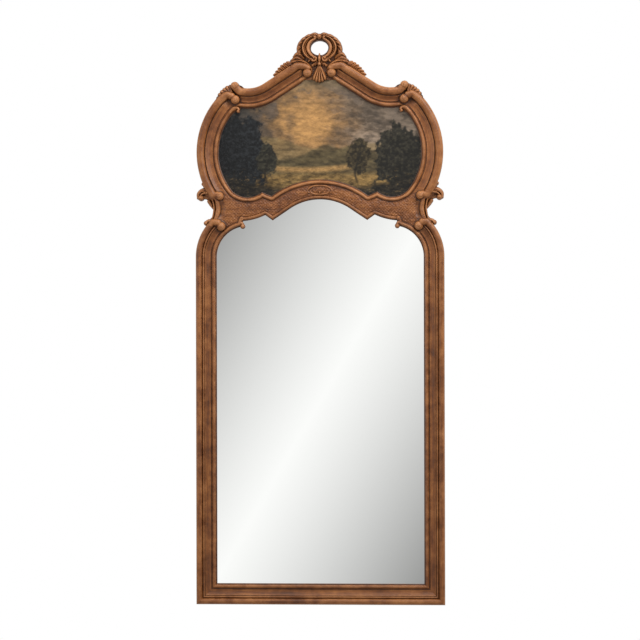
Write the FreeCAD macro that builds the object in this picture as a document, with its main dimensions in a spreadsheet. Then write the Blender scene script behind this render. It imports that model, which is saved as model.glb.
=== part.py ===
"""Trumeau mirror, in millimetres.

A carved oak frame holds a tall mirror plate below and a painted panel above, with a pierced crest on top.
X runs to the viewer's right, Y into the wall and Z up. The origin is on the wall plane, at the middle of the
bottom edge. A depth is measured forwards from the wall plane, so it is the negative of Y.
Pieces are drawn on the viewer's right and mirrored to the left.
"""
import FreeCAD
import Part
import Sketcher
import math
import os

Vector = FreeCAD.Vector
FRONT_SIDE = Vector(0, -1, 0)

# Each driving dimension: name, value in millimetres or degrees, and what it measures.
DRIVING_SIZES = [
    # lower frame
    ("body_width", 782, "overall width of the lower frame"),
    ("moulding_width", 65, "width of the stile and bottom rail mouldings"),
    ("shoulder_level", 1093, "height at which the stiles start to bend inwards"),
    ("shoulder_radius", 97.5, "radius of the shoulder at the mirror's sight edge"),
    ("shoulder_joint", 40, "angle of the joint between stile and middle rail"),
    ("shoulder_end", 79, "angle at which the shoulder's bead ends in its curl"),
    # moulding section, from the sight edge outwards
    ("lip_back", 24, "depth of the back of the lip that the plate and the picture lie against"),
    ("bead_width", 12, "width of the sight bead"),
    ("bead_edge", 29, "depth of the sight bead's edges"),
    ("bead_rise", 5, "rise of the sight bead over its edges"),
    ("quirk_width", 4, "width of the groove outside the bead"),
    ("quirk_floor", 26, "depth of the groove's floor"),
    ("cove_edge", 32, "depth of the cove's inner edge"),
    ("cove_top", 39, "depth of the cove's outer edge"),
    ("cove_sink", 3.5, "hollow of the cove under its chord"),
    ("fillet_width", 2, "width of the fillet between cove and roll"),
    ("roll_width", 25, "width of the outer roll"),
    ("roll_edge", 36, "depth of the roll's edges"),
    ("roll_rise", 11.5, "rise of the roll over its edges"),
    ("rebate_width", 12, "width of the rebate for the plate and the picture"),
    ("rebate_floor", 12, "depth of the floor that the backboards and turn buttons lie on"),
    ("back_rebate_width", 26, "width of the wider rebate at the back, from the sight edge"),
    # head of the frame round the picture
    ("head_set_in", 3, "distance of the head's sides inside the stiles' sides"),
    ("head_moulding", 69, "width of the head's side mouldings"),
    ("head_radius", 190.5, "radius of the picture's sight edge at the sides"),
    ("head_rise", 329, "height of the side arc's centre above the shoulder level"),
    ("head_low_joint", 30, "angle below level of the joint with the middle rail"),
    ("head_high_joint", 39.5, "angle above level of the joint with the corner block"),
    ("corner_run", 28.9, "width of the sight edge between the side and top mouldings"),
    ("corner_climb", 18.8, "height of the sight edge between the side and top mouldings"),
    ("ogee_radius", 155, "radius of the picture's sight edge in the top dip"),
    ("ogee_moulding", 63, "width of the top mouldings"),
    ("ogee_slope", 33, "slope of the straight run up to the crest"),
    ("ogee_outer_joint", 8, "angle of the joint with the corner block"),
    ("crest_joint_x", 56.7, "distance of the crest's joint from the middle, at the sight edge"),
    # middle rail
    ("ground_depth", 30, "depth of the carved ground of the middle rail"),
    ("shelf_in", 5.1, "distance of the edge by the curl inside the shoulder's end"),
    ("shelf_rise", 17.8, "height of the edge by the curl above the shoulder's end"),
    ("shelf_sag", 3.5, "sag of the edge between curl and peak"),
    ("lower_peak_x", 172.5, "distance of the lower peak from the middle"),
    ("lower_peak_rise", 132, "height of the lower peak above the shoulder level"),
    ("lower_cusp_x", 149, "distance of the lower cusp from the middle"),
    ("lower_cusp_rise", 115, "height of the lower cusp above the shoulder level"),
    ("flank_x", 101, "distance from the middle where the lower arch's flank ends"),
    ("flank_rise", 147, "height of the flank's end above the shoulder level"),
    ("lower_arch_rise", 33.5, "rise of the lower arch over its flanks"),
    ("upper_cusp_x", 152, "distance of the upper cusp from the middle"),
    ("rail_height", 77, "height of the upper cusp above the lower cusp"),
    ("upper_peak_x", 182, "distance of the upper peak from the middle"),
    ("upper_peak_rise", 12.5, "height of the upper peak above the upper cusp"),
    ("lobe_joint", 40, "angle below level where the lobe leaves the side arc"),
    ("lobe_sink", 17, "sink of the picture's lobes under their chord"),
    ("upper_arch_rise", 51.5, "rise of the upper arch over its cusps"),
    ("waist_sink", 31, "hollow of the waist between head and stile"),
    # bosses where the rolls end
    ("boss_radius", 15.5, "radius of the bosses at the waist"),
    ("boss_top", 51, "depth of the bosses' tops"),
    ("boss_skirt", 40, "depth at which the bosses start to round over"),
    ("upper_boss_angle", 36, "angle below level of the upper boss on the side arc"),
    ("upper_boss_inset", 28, "inset of the upper boss from the outer edge"),
    ("lower_boss_angle", 49, "angle of the lower boss on the shoulder arc"),
    ("lower_boss_inset", 40, "inset of the lower boss from the outer edge"),
    # corner blocks
    ("volute_radius", 14, "radius of the volute eyes at the corners and the crest"),
    ("volute_top", 54, "depth of the volute eyes' tops"),
    ("corner_hub_in", 49.7, "distance of the corner shell's hub inside the side moulding's outer edge"),
    ("corner_hub_rise", 7.9, "height of the corner shell's hub above the side moulding's outer edge"),
    ("fan_reach", 41, "length of the corner shell's ribs"),
    ("fan_rib_radius", 8, "radius of the corner shell's ribs at their tips"),
    ("fan_depth", 36, "depth of the corner shell's middle plane"),
    ("inner_curl_radius", 9, "radius of the curls that end the sight beads"),
    # crest
    ("crest_side", 42, "height of the crest's sides above their joint with the top mouldings"),
    ("crest_dome", 62, "rise of the crest's dome over its sides"),
    ("crest_half_width", 75, "half of the crest's width at the ring"),
    ("ring_hole_width", 55, "width of the hole in the ring"),
    ("ring_hole_height", 47, "height of the hole in the ring"),
    ("ring_hole_drop", 47, "distance of the hole's middle below the crest's top"),
    ("crest_back", 6, "depth of the crest's back"),
    ("crest_ground", 34, "depth of the crest's ground"),
    ("scroll_radius", 6.5, "radius of the ring's C scrolls"),
    ("petal_radius", 7.5, "radius of the ring's petals"),
    ("crest_volute_along", 35, "distance of the crest's volute eyes past its joints"),
    ("crest_volute_out", 20, "distance of the crest's volute eyes from the sight edge's line"),
    ("shell_drop", 107, "distance of the crest shell's hub below the crest's top"),
    ("shell_reach", 44, "length of the crest shell's middle rib"),
    ("shell_rib_radius", 7, "radius of the crest shell's ribs at their tips"),
    ("shell_depth", 42, "depth of the crest shell's middle plane"),
    ("spray_length", 66, "length of the leaf spray along the moulding"),
    ("spray_height", 20, "height of the leaf spray over the moulding"),
    ("spray_back", 12, "depth of the leaf spray's back"),
    ("spray_front", 40, "depth of the leaf spray's ground"),
    # waist scrolls
    ("scroll_width", 18, "width of the waist scroll's band"),
    ("scroll_back", 4, "depth of the waist scroll's back"),
    ("scroll_front", 34, "depth of the waist scroll's flat"),
    ("leaf_reach", 26, "reach of the waist leaf past the band"),
    ("lower_curl_radius", 10.5, "radius of the curl under the waist"),
    # plate and backboards
    ("glass_thickness", 4, "thickness of the mirror plate"),
    ("edge_clearance", 1, "clearance of plate and panel in their rebates"),
    ("board_clearance", 1.5, "clearance of the backboards in their rebate"),
    ("plate_slope_width", 136, "distance of the start of the plate's slope inside the sight edge"),
    ("plate_arch_x", 140, "distance from the middle where the plate's arch starts"),
    ("plate_top_rise", 143, "height of the plate's level top above the shoulder level"),
    ("plate_arch_rise", 48.5, "rise of the plate's arch"),
    ("plate_shoulder_end", 62, "angle at which the plate's shoulder arc ends"),
    ("board_thickness", 9, "thickness of the backboards"),
    ("board_count", 4, "number of backboards"),
    ("board_gap", 1, "gap between the backboards"),
    ("plate_bead_leg", 8, "width of the softwood beads that hold the plate"),
    ("pad_length", 40, "length of the leather pads under the plate"),
    # picture
    ("canvas_thickness", 1, "thickness of the painted canvas"),
    ("picture_low_x", 150, "distance from the middle where the panel's arch starts"),
    ("picture_slope_width", 48, "width of the panel's slanting foot"),
    ("picture_foot_drop", 14, "drop of the panel's foot below the upper cusp"),
    ("picture_arch_rise", 56, "rise of the arch in the panel's foot"),
    ("picture_top_x", 49, "half width of the panel's level top"),
    ("picture_split", 12, "height of the panel's glue joint above the side arc's centre"),
    ("batten_width", 40, "width of the panel's battens"),
    ("batten_x", 120, "distance of the battens from the middle"),
    ("batten_length", 210, "length of the panel's battens"),
    ("batten_thickness", 9, "thickness of the panel's battens"),
    # turn buttons
    ("button_angle", 20, "angle of the turn buttons above and below the side arc's centre"),
    ("button_width", 11, "width of a turn button"),
    ("button_reach", 17, "reach of a turn button from its screw"),
    ("button_thickness", 2, "thickness of a turn button"),
    ("button_pivot", 19.5, "distance of the button's screw from the sight edge"),
    # screws
    ("screw_radius", 2, "radius of the screws' shanks"),
    ("screw_head_radius", 3.8, "radius of the screws' heads"),
    ("screw_head_height", 1.8, "height of the screws' heads"),
    ("screw_grip", 9, "length of thread in the wood"),
    ("slot_width", 0.9, "width of the slot in a screw head"),
    ("slot_depth", 0.8, "depth of the slot in a screw head"),
    ("running_gap", 0.1, "clearance between pieces that turn on each other"),
    # hangers
    ("hanger_height", 1010, "height of the hangers' hinge line"),
    ("hanger_inset", 19.5, "distance of the hangers from the stile's outer edge"),
    ("hanger_pocket", 9, "depth of the pocket that a hanger lies in"),
    ("pocket_width", 29, "width of the hanger's pocket"),
    ("pocket_up", 27, "height of the pocket above the hinge line"),
    ("pocket_down", 50, "length of the pocket below the hinge line"),
    ("strap_width", 14, "width of the hanger's strap"),
    ("strap_length", 46, "length of the hanger's strap below the hinge line"),
    ("strap_thickness", 1.5, "thickness of the hanger's strap"),
    ("loop_radius", 3.9, "outer radius of the strap's loop"),
    ("loop_width", 10, "width of the strap's loop"),
    ("wire_radius", 1.8, "radius of the ring's wire"),
    ("ring_half_width", 10.5, "half width of the ring, to the wire's middle"),
    ("ring_leg", 6, "length of the ring's straight legs"),
    ("strap_screw_first", 24, "distance of the first screw below the hinge line"),
    ("strap_screw_second", 39, "distance of the second screw below the hinge line"),
    # joints of the frame
    ("dowel_radius", 4, "radius of the dowels"),
    ("dowel_length", 36, "length of the dowels"),
    ("dowel_depth", 18, "depth of the dowels' middles"),
    ("dowel_gap", 0.05, "clearance round a dowel"),
    ("key_thickness", 6, "thickness of the keys across the bottom mitres"),
    ("key_depth", 20, "depth of the keys' backs"),
    ("key_length", 46, "length of the keys along the mitre"),
    ("key_width", 26, "width of the keys across the mitre"),
]

doc = FreeCAD.newDocument("trumeau_mirror")


# ---------------------------------------------------------------- sizes

def make_sheet():
    """The spreadsheet of driving dimensions, one alias a row."""
    made = doc.addObject("Spreadsheet::Sheet", "sizes")
    for row, (name, value, meaning) in enumerate(DRIVING_SIZES, start=1):
        made.set(f"A{row}", name)
        made.set(f"B{row}", str(value))
        made.set(f"C{row}", meaning)
        made.setAlias(f"B{row}", name)
    doc.recompute()
    return made


sheet = make_sheet()


class Size:
    """A value with the sheet formula that gives it, so that sketches and features follow the same sum."""

    def __init__(self, value, formula):
        self.value = value
        self.formula = formula

    def __add__(self, other):
        other = as_size(other)
        return Size(self.value + other.value, f"({self.formula} + {other.formula})")

    def __sub__(self, other):
        other = as_size(other)
        return Size(self.value - other.value, f"({self.formula} - {other.formula})")

    def __mul__(self, other):
        other = as_size(other)
        return Size(self.value * other.value, f"({self.formula} * {other.formula})")

    def __truediv__(self, other):
        other = as_size(other)
        return Size(self.value / other.value, f"({self.formula} / {other.formula})")

    def __neg__(self):
        return Size(-self.value, f"(0 - {self.formula})")


def as_size(number):
    return number if isinstance(number, Size) else Size(float(number), repr(float(number)))


def size(name):
    """The named driving dimension."""
    return Size(float(sheet.get(name)), f"sizes.{name}")


def sine(angle):
    angle = as_size(angle)
    return Size(math.sin(math.radians(angle.value)), f"sin({angle.formula})")


def cosine(angle):
    angle = as_size(angle)
    return Size(math.cos(math.radians(angle.value)), f"cos({angle.formula})")


def root(number):
    return Size(math.sqrt(number.value), f"sqrt({number.formula})")


ZERO = Size(0.0, "0")

# Places that several pieces share.
half_body = size("body_width") / 2
sight_x = half_body - size("moulding_width")
sight_foot = size("moulding_width")
shoulder_x = sight_x - size("shoulder_radius")
shoulder_z = size("shoulder_level")
head_x = half_body - size("head_set_in") - size("head_moulding") - size("head_radius")
head_z = shoulder_z + size("head_rise")
plate_top_x = sight_x - size("plate_slope_width")
upper_cusp_z = shoulder_z + size("lower_cusp_rise") + size("rail_height")
plate_fit = size("rebate_width") - size("edge_clearance")
board_fit = size("back_rebate_width") - size("board_clearance")


def on_shoulder(outwards, angle):
    """The point outwards from the mirror's sight edge, on the shoulder arc."""
    radius = size("shoulder_radius") + outwards
    return shoulder_x + radius * cosine(angle), shoulder_z + radius * sine(angle)


def on_head(outwards, angle):
    """The point outwards from the picture's sight edge, on the side arc, at an angle above level."""
    radius = size("head_radius") + outwards
    return head_x + radius * cosine(angle), head_z + radius * sine(angle)


head_end_x, head_end_z = on_head(ZERO, size("head_high_joint"))
ogee_x = head_end_x - size("corner_run") - size("ogee_radius") * sine(size("ogee_outer_joint"))
ogee_z = head_end_z + size("corner_climb") + size("ogee_radius") * cosine(size("ogee_outer_joint"))


def on_dip(outwards, angle):
    """The point outwards from the picture's sight edge, in the top dip, at an angle towards the corner."""
    radius = size("ogee_radius") - outwards
    return ogee_x + radius * sine(angle), ogee_z - radius * cosine(angle)


run_length = (on_dip(ZERO, -size("ogee_slope"))[0] - size("crest_joint_x")) / cosine(size("ogee_slope"))


def on_run(outwards, along):
    """The point outwards from the picture's sight edge, along the straight run up to the crest."""
    x, z = on_dip(outwards, -size("ogee_slope"))
    return x - along * cosine(size("ogee_slope")), z + along * sine(size("ogee_slope"))


# ---------------------------------------------------------------- sketches

def add_outline(sketch, corners):
    """Draws a closed outline and binds it to the sheet.

    A corner is (x, y, rise). The rise is that of the arc to the next corner, to the left of the way round,
    or None for a straight side.
    """
    ends = []
    for here, (x, y, rise) in enumerate(corners):
        next_x, next_y, _ = corners[(here + 1) % len(corners)]
        start = Vector(x.value, y.value, 0)
        end = Vector(next_x.value, next_y.value, 0)
        if rise is None:
            index = sketch.addGeometry(Part.LineSegment(start, end), False)
            ends.append((index, 1, 2))
            continue
        centre, radius = arc_centre(start, end, rise.value)
        turn = Part.Circle(centre, Vector(0, 0, 1), radius)
        first, last = (end, start) if rise.value > 0 else (start, end)
        first_angle = math.atan2(first.y - centre.y, first.x - centre.x)
        last_angle = math.atan2(last.y - centre.y, last.x - centre.x)
        index = sketch.addGeometry(Part.ArcOfCircle(turn, first_angle, last_angle), False)
        ends.append((index, 2, 1) if rise.value > 0 else (index, 1, 2))
    for here, (index, _, last) in enumerate(ends):
        next_index, next_first, _ = ends[(here + 1) % len(ends)]
        sketch.addConstraint(Sketcher.Constraint("Coincident", index, last, next_index, next_first))
    for here, (x, y, rise) in enumerate(corners):
        index, first, _ = ends[here]
        pin(sketch, "DistanceX", index, first, x)
        pin(sketch, "DistanceY", index, first, y)
        if rise is not None:
            next_x, next_y, _ = corners[(here + 1) % len(corners)]
            width, height = next_x - x, next_y - y
            depth = rise if rise.value > 0 else -rise
            radius = ((width * width + height * height) / 4 + depth * depth) / (depth * 2)
            made = sketch.addConstraint(Sketcher.Constraint("Radius", index, radius.value))
            sketch.setExpression(f"Constraints[{made}]", radius.formula)


def pin(sketch, kind, index, point, place):
    """Holds a point of a sketch at a bound distance from the sketch's origin."""
    if place.formula == ZERO.formula:
        axis = -2 if kind == "DistanceX" else -1
        sketch.addConstraint(Sketcher.Constraint("PointOnObject", index, point, axis))
        return
    made = sketch.addConstraint(Sketcher.Constraint(kind, -1, 1, index, point, place.value))
    sketch.setExpression(f"Constraints[{made}]", place.formula)


def arc_centre(start, end, rise):
    """Centre and radius of the arc whose middle stands rise to the left of the way from start to end."""
    chord = end - start
    left = Vector(-chord.y, chord.x, 0).normalize()
    radius = (chord.Length ** 2 / 4 + rise ** 2) / (2 * abs(rise))
    towards = rise - math.copysign(radius, rise)
    return (start + end) * 0.5 + left * towards, radius


def origin_plane(body, role):
    return next(item for item in body.Origin.OriginFeatures if item.Role == role)


def sketch_on(body, role, corners, place=None, turn=0.0):
    """A bound sketch on one of the body's own origin planes.

    place holds the sketch origin's distances along the plane's own axes and its normal, and turn its angle
    about the plane's first axis.
    """
    made = body.newObject("Sketcher::SketchObject", f"{body.Name}_outline")
    made.AttachmentSupport = [(origin_plane(body, role), "")]
    made.MapMode = "FlatFace"
    if place:
        for axis, distance in zip("xyz", place):
            made.setExpression(f"AttachmentOffset.Base.{axis}", as_size(distance).formula)
    if turn:
        made.AttachmentOffset = FreeCAD.Placement(Vector(0, 0, 0), Vector(1, 0, 0), 1.0)
        made.setExpression("AttachmentOffset.Rotation.Angle", turn.formula)
    add_outline(made, corners)
    return made


def new_body(label):
    made = doc.addObject("PartDesign::Body", label)
    made.Label = label
    return made


def pad(body, sketch, length, reversed_way=False):
    made = body.newObject("PartDesign::Pad", f"{body.Name}_pad")
    made.Profile = sketch
    made.setExpression("Length", as_size(length).formula)
    made.Reversed = reversed_way
    return made


def pocket(body, sketch, length, reversed_way=False):
    """A pocket cut from the wall side forwards."""
    made = body.newObject("PartDesign::Pocket", f"{body.Name}_pocket")
    made.Profile = sketch
    made.setExpression("Length", as_size(length).formula)
    made.Reversed = reversed_way
    return made


def revolve(body, sketch, axis, angle, reversed_way=False):
    made = body.newObject("PartDesign::Revolution", f"{body.Name}_turn")
    made.Profile = sketch
    made.ReferenceAxis = (sketch, [axis])
    made.setExpression("Angle", as_size(angle).formula)
    made.Reversed = reversed_way
    return made


def dome_rise(radius, height):
    """The rise, over its chord, of the arc that turns into a dome of this radius and height."""
    chord_square = radius * radius + height * height
    ball = chord_square / (height * 2)
    return ball - root(ball * ball - chord_square / 4)


def moulding_section(width):
    """The moulding's section as (outwards, depth, rise), clockwise from the back of the lip."""
    roll_start = width - size("roll_width")
    cove_end = roll_start - size("fillet_width")
    quirk_end = size("bead_width") + size("quirk_width")
    return [
        (ZERO, size("lip_back"), None),
        (ZERO, size("bead_edge"), size("bead_rise")),
        (size("bead_width"), size("bead_edge"), None),
        (size("bead_width"), size("quirk_floor"), None),
        (quirk_end, size("quirk_floor"), None),
        (quirk_end, size("cove_edge"), -size("cove_sink")),
        (cove_end, size("cove_top"), None),
        (roll_start, size("cove_top"), None),
        (roll_start, size("roll_edge"), size("roll_rise")),
        (width, size("roll_edge"), None),
        (width, ZERO, None),
        (size("back_rebate_width"), ZERO, None),
        (size("back_rebate_width"), size("rebate_floor"), None),
        (size("rebate_width"), size("rebate_floor"), None),
        (size("rebate_width"), size("lip_back"), None),
    ]


def section_in_plan(width, radius):
    """The section seen from above, at a radius from the sketch origin: outwards is +x and forwards is -y."""
    return [(radius + out, -depth, None if rise is None else -rise)
            for out, depth, rise in moulding_section(width)]


def section_from_the_side(width, radius):
    """The section seen from the side, under the sketch origin: outwards is +y and forwards is -x."""
    return [(-depth, out - radius, rise) for out, depth, rise in moulding_section(width)]


# ---------------------------------------------------------------- mouldings

def stile():
    """A straight moulding that bends inwards at the shoulder, mitred at the foot."""
    body = new_body("right_stile_blank")
    section = sketch_on(body, "XY_Plane", section_in_plan(size("moulding_width"), size("shoulder_radius")),
                        (shoulder_x, ZERO, shoulder_z))
    pad(body, section, shoulder_z, reversed_way=True)
    revolve(body, section, "V_Axis", size("shoulder_joint"), reversed_way=True)
    below_mitre = [
        (sight_x - size("moulding_width"), ZERO, None),
        (sight_x - size("moulding_width"), sight_foot, None),
        (sight_x, sight_foot, None),
        (half_body, ZERO, None),
    ]
    pocket(body, sketch_on(body, "XZ_Plane", below_mitre), size("roll_edge") * 2, reversed_way=True)
    return body


def bottom_rail():
    """The moulding under the mirror, mitred at both ends."""
    body = new_body("bottom_rail_blank")
    section = [(-depth, sight_foot - out, None if rise is None else -rise)
               for out, depth, rise in moulding_section(size("moulding_width"))]
    drawn = sketch_on(body, "YZ_Plane", section)
    bar = pad(body, drawn, size("body_width"))
    bar.Midplane = True
    for side in (1, -1):
        beyond_mitre = [
            (half_body * side, ZERO, None),
            (sight_x * side, sight_foot, None),
            (sight_x * side, sight_foot * 2, None),
            (half_body * (side * 1.2), sight_foot * 2, None),
            (half_body * (side * 1.2), ZERO, None),
        ]
        pocket(body, sketch_on(body, "XZ_Plane", beyond_mitre), size("roll_edge") * 2, reversed_way=True)
    return body


def head_side():
    """The curved moulding at the picture's side."""
    body = new_body("right_head_side_blank")
    section = sketch_on(body, "XY_Plane", section_in_plan(size("head_moulding"), size("head_radius")),
                        (head_x, ZERO, head_z))
    revolve(body, section, "V_Axis", size("head_high_joint"), reversed_way=True)
    revolve(body, section, "V_Axis", size("head_low_joint"))
    return body


def head_top():
    """The moulding over the picture: a dip, then a straight run up to the crest."""
    body = new_body("right_head_top_blank")
    corners = section_from_the_side(size("ogee_moulding"), size("ogee_radius"))
    place = (ZERO, ogee_z, ogee_x)
    section = sketch_on(body, "YZ_Plane", corners, place)
    revolve(body, section, "H_Axis", size("ogee_slope"))
    revolve(body, section, "H_Axis", size("ogee_outer_joint"), reversed_way=True)
    run_section = sketch_on(body, "YZ_Plane", corners, place, turn=size("ogee_slope"))
    pad(body, run_section, run_length, reversed_way=True)
    return body


# ---------------------------------------------------------------- outlines shared by rail, plate and panel

def mirrored(half, closing_rise, meeting_rise):
    """A whole outline from its right half, which runs clockwise and doesn't touch the middle line.

    closing_rise is that of the side that crosses the middle at the half's end, and meeting_rise that of the
    side that crosses it at the half's start.
    """
    right = [(x, z, rise) for x, z, rise in half[:-1]] + [(half[-1][0], half[-1][1], closing_rise)]
    left = []
    for here in range(len(half) - 1, 0, -1):
        left.append((-half[here][0], half[here][1], half[here - 1][2]))
    left.append((-half[0][0], half[0][1], meeting_rise))
    return right + left


def arc_rise(radius, angle):
    """The rise of an arc over its chord."""
    return radius - radius * cosine(angle / 2)


def rail_outline():
    """The middle rail, seen from the front, clockwise from the upper cusp."""
    lobe_turn = size("lobe_joint") - size("head_low_joint")
    shoulder_turn = size("shoulder_end") - size("shoulder_joint")
    shoulder_end_x, shoulder_end_z = on_shoulder(ZERO, size("shoulder_end"))
    half = [
        (size("upper_cusp_x"), upper_cusp_z, None),
        (size("upper_peak_x"), upper_cusp_z + size("upper_peak_rise"), -size("lobe_sink")),
        (*on_head(ZERO, -size("lobe_joint")), -arc_rise(size("head_radius"), lobe_turn)),
        (*on_head(ZERO, -size("head_low_joint")), None),
        (*on_head(size("head_moulding"), -size("head_low_joint")), -size("waist_sink")),
        (*on_shoulder(size("moulding_width"), size("shoulder_joint")), None),
        (*on_shoulder(ZERO, size("shoulder_joint")), -arc_rise(size("shoulder_radius"), shoulder_turn)),
        (shoulder_end_x, shoulder_end_z, None),
        (shoulder_end_x - size("shelf_in"), shoulder_end_z + size("shelf_rise"), size("shelf_sag")),
        (size("lower_peak_x"), shoulder_z + size("lower_peak_rise"), None),
        (size("lower_cusp_x"), shoulder_z + size("lower_cusp_rise"), None),
        (size("flank_x"), shoulder_z + size("flank_rise"), None),
    ]
    return mirrored(half, -size("lower_arch_rise"), size("upper_arch_rise"))


def plate_outline(overlap):
    """The mirror plate's outline, or its backboards', overlap past the sight edge."""
    lift = overlap - plate_fit
    turn = size("plate_shoulder_end")
    radius = size("shoulder_radius") + overlap
    top_z = shoulder_z + size("plate_top_rise") + lift
    half = [
        (size("plate_arch_x"), top_z, None),
        (plate_top_x, top_z, None),
        (*on_shoulder(overlap, turn), arc_rise(radius, turn)),
        (sight_x + overlap, shoulder_z, None),
        (sight_x + overlap, sight_foot - overlap, None),
    ]
    return mirrored(half, None, size("plate_arch_rise"))


def panel_outline(overlap):
    """The picture panel's outline, overlap past the sight edge."""
    lift = overlap - plate_fit
    foot_z = upper_cusp_z - size("picture_foot_drop") - lift
    side_turn = size("lobe_joint") + size("head_high_joint")
    dip_turn = size("ogee_slope") + size("ogee_outer_joint")
    dip_radius = size("ogee_radius") - overlap
    run_x, run_z = on_dip(overlap, -size("ogee_slope"))
    top_x = size("picture_top_x")
    top_z = run_z + (run_x - top_x) * sine(size("ogee_slope")) / cosine(size("ogee_slope"))
    half = [
        (top_x, top_z, None),
        (run_x, run_z, -arc_rise(dip_radius, dip_turn)),
        (*on_dip(overlap, size("ogee_outer_joint")), None),
        (*on_head(overlap, size("head_high_joint")), arc_rise(size("head_radius") + overlap, side_turn)),
        (*on_head(overlap, -size("lobe_joint")), None),
        (on_head(plate_fit, -size("lobe_joint"))[0] - size("picture_slope_width"), foot_z, None),
        (size("picture_low_x"), foot_z, None),
    ]
    return mirrored(half, -size("picture_arch_rise"), None)


def layer(label, corners, front, thickness):
    """A flat piece with this outline, whose front is at a depth."""
    body = new_body(label)
    drawn = sketch_on(body, "XZ_Plane", corners, (ZERO, ZERO, front - thickness))
    pad(body, drawn, thickness)
    return body


# ---------------------------------------------------------------- plain solids in the depth frame

def point(x, z, depth):
    return Vector(x, -depth, z)


def arc_edge(start, middle, end):
    return Part.Arc(start, middle, end).toShape()


def turned(profile, start, way):
    """A solid turned about the line from start along way, from a profile of (along, out, bulge)."""
    way = Vector(way).normalize()
    side = way.cross(Vector(0.3, 0.9, 0.2)).normalize()
    places = [start + way * along + side * out for along, out, _ in profile]
    edges = []
    for here, (_, _, bulge) in enumerate(profile):
        first, last = places[here], places[(here + 1) % len(places)]
        if bulge is None:
            edges.append(Part.makeLine(first, last))
        else:
            middle = start + way * bulge[0] + side * bulge[1]
            edges.append(arc_edge(first, middle, last))
    return Part.Face(Part.Wire(edges)).revolve(start, way, 360)


def boss(x, z, radius, back, skirt, top):
    """A round boss whose front is domed."""
    rise = top - skirt
    dome_radius = (radius ** 2 + rise ** 2) / (2 * rise)
    half_way = math.asin(radius / dome_radius) / 2
    crown = (top - dome_radius + dome_radius * math.cos(half_way) - back, dome_radius * math.sin(half_way))
    profile = [(0, 0, None), (0, radius, None), (skirt - back, radius, crown), (top - back, 0, None)]
    return turned(profile, point(x, z, back), FRONT_SIDE)


def tube(edge, radius):
    """A round bar along a smooth edge, with knobs at its ends."""
    start = edge.valueAt(edge.FirstParameter)
    end = edge.valueAt(edge.LastParameter)
    ring = Part.Wire(Part.makeCircle(radius, start, edge.tangentAt(edge.FirstParameter)))
    bar = Part.Wire(edge).makePipeShell([ring], True, False)
    return bar.fuse([Part.makeSphere(radius * 1.08, start), Part.makeSphere(radius * 1.08, end)])


def rib(start, end, start_radius, end_radius):
    """A tapering rib with a round tip."""
    length = (end - start).Length
    half_way = end_radius * math.sqrt(0.5)
    tip = (length + half_way, half_way)
    profile = [(0, 0, None), (0, start_radius, None), (length, end_radius, tip), (length + end_radius, 0, None)]
    return turned(profile, start, end - start)


def fused(solids):
    made = solids[0].fuse(solids[1:]).removeSplitter()
    return made.Solids[0] if len(made.Solids) == 1 else made


def feature(label, shape):
    """A piece whose shape is worked out above."""
    made = doc.addObject("Part::Feature", label)
    made.Label = label
    made.Shape = shape
    return made


# ---------------------------------------------------------------- bound solids, holes and joints

def bound(kind, name, sizes_of, x, z, depth, axis=None, angle=None):
    """A primitive with bound sizes, placed in the depth frame and turned about one axis by a bound angle."""
    made = doc.addObject(kind, name)
    for key, value in sizes_of.items():
        made.setExpression(key, as_size(value).formula)
    if axis is not None:
        made.Placement = FreeCAD.Placement(Vector(0, 0, 0), axis, 1.0)
        made.setExpression("Placement.Rotation.Angle", as_size(angle).formula)
    made.setExpression("Placement.Base.x", as_size(x).formula)
    made.setExpression("Placement.Base.y", as_size(-depth).formula)
    made.setExpression("Placement.Base.z", as_size(z).formula)
    return made


def forward_pin(name, radius, length, x, z, depth):
    """A cylinder that runs forwards from a depth."""
    return bound("Part::Cylinder", name, {"Radius": radius, "Height": length}, x, z, depth, Vector(1, 0, 0), 90)


def sideways_pin(name, radius, length, x, z, depth):
    """A cylinder along X, centred on x."""
    return bound("Part::Cylinder", name, {"Radius": radius, "Height": length}, x - length / 2, z, depth,
                 Vector(0, 1, 0), 90)


def box(name, x_size, depth_size, z_size, x_low, z_low, depth_back):
    """A block from its low corner; it runs forwards from depth_back."""
    return bound("Part::Box", name, {"Length": x_size, "Width": depth_size, "Height": z_size},
                 x_low, z_low, depth_back + depth_size)


def joint_pin(name, radius, x, z, angle):
    """A dowel, or its hole, centred on a joint and turned about Y from upright."""
    length = size("dowel_length")
    low_x = x - sine(angle) * length / 2
    low_z = z - cosine(angle) * length / 2
    return bound("Part::Cylinder", name, {"Radius": radius, "Height": length}, low_x, low_z,
                 size("dowel_depth"), Vector(0, 1, 0), angle)


def cut(name, base, tools):
    made = doc.addObject("Part::Cut", name)
    made.Base = base
    made.Tool = gathered(f"{name}_cutters", tools)
    return made


def gathered(name, items):
    if len(items) == 1:
        return items[0]
    made = doc.addObject("Part::Compound", name)
    made.Links = items
    return made


def fuse(name, items):
    made = doc.addObject("Part::MultiFuse", name)
    made.Shapes = items
    made.Refine = True
    return made


def common(name, base, tool):
    made = doc.addObject("Part::MultiCommon", name)
    made.Shapes = [base, tool]
    return made


def mirror(name, source):
    """The same piece on the other side."""
    made = doc.addObject("Part::Mirroring", name)
    made.Source = source
    made.Normal = Vector(1, 0, 0)
    made.Base = Vector(0, 0, 0)
    return made


def both_sides(name, right):
    """The finished right-hand piece and its mirrored fellow."""
    right.Label = f"right_{name}"
    NODES.append(right)
    left = mirror(f"left_{name}", right)
    left.Label = f"left_{name}"
    NODES.append(left)


def single(name, made):
    made.Label = name
    NODES.append(made)


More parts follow.
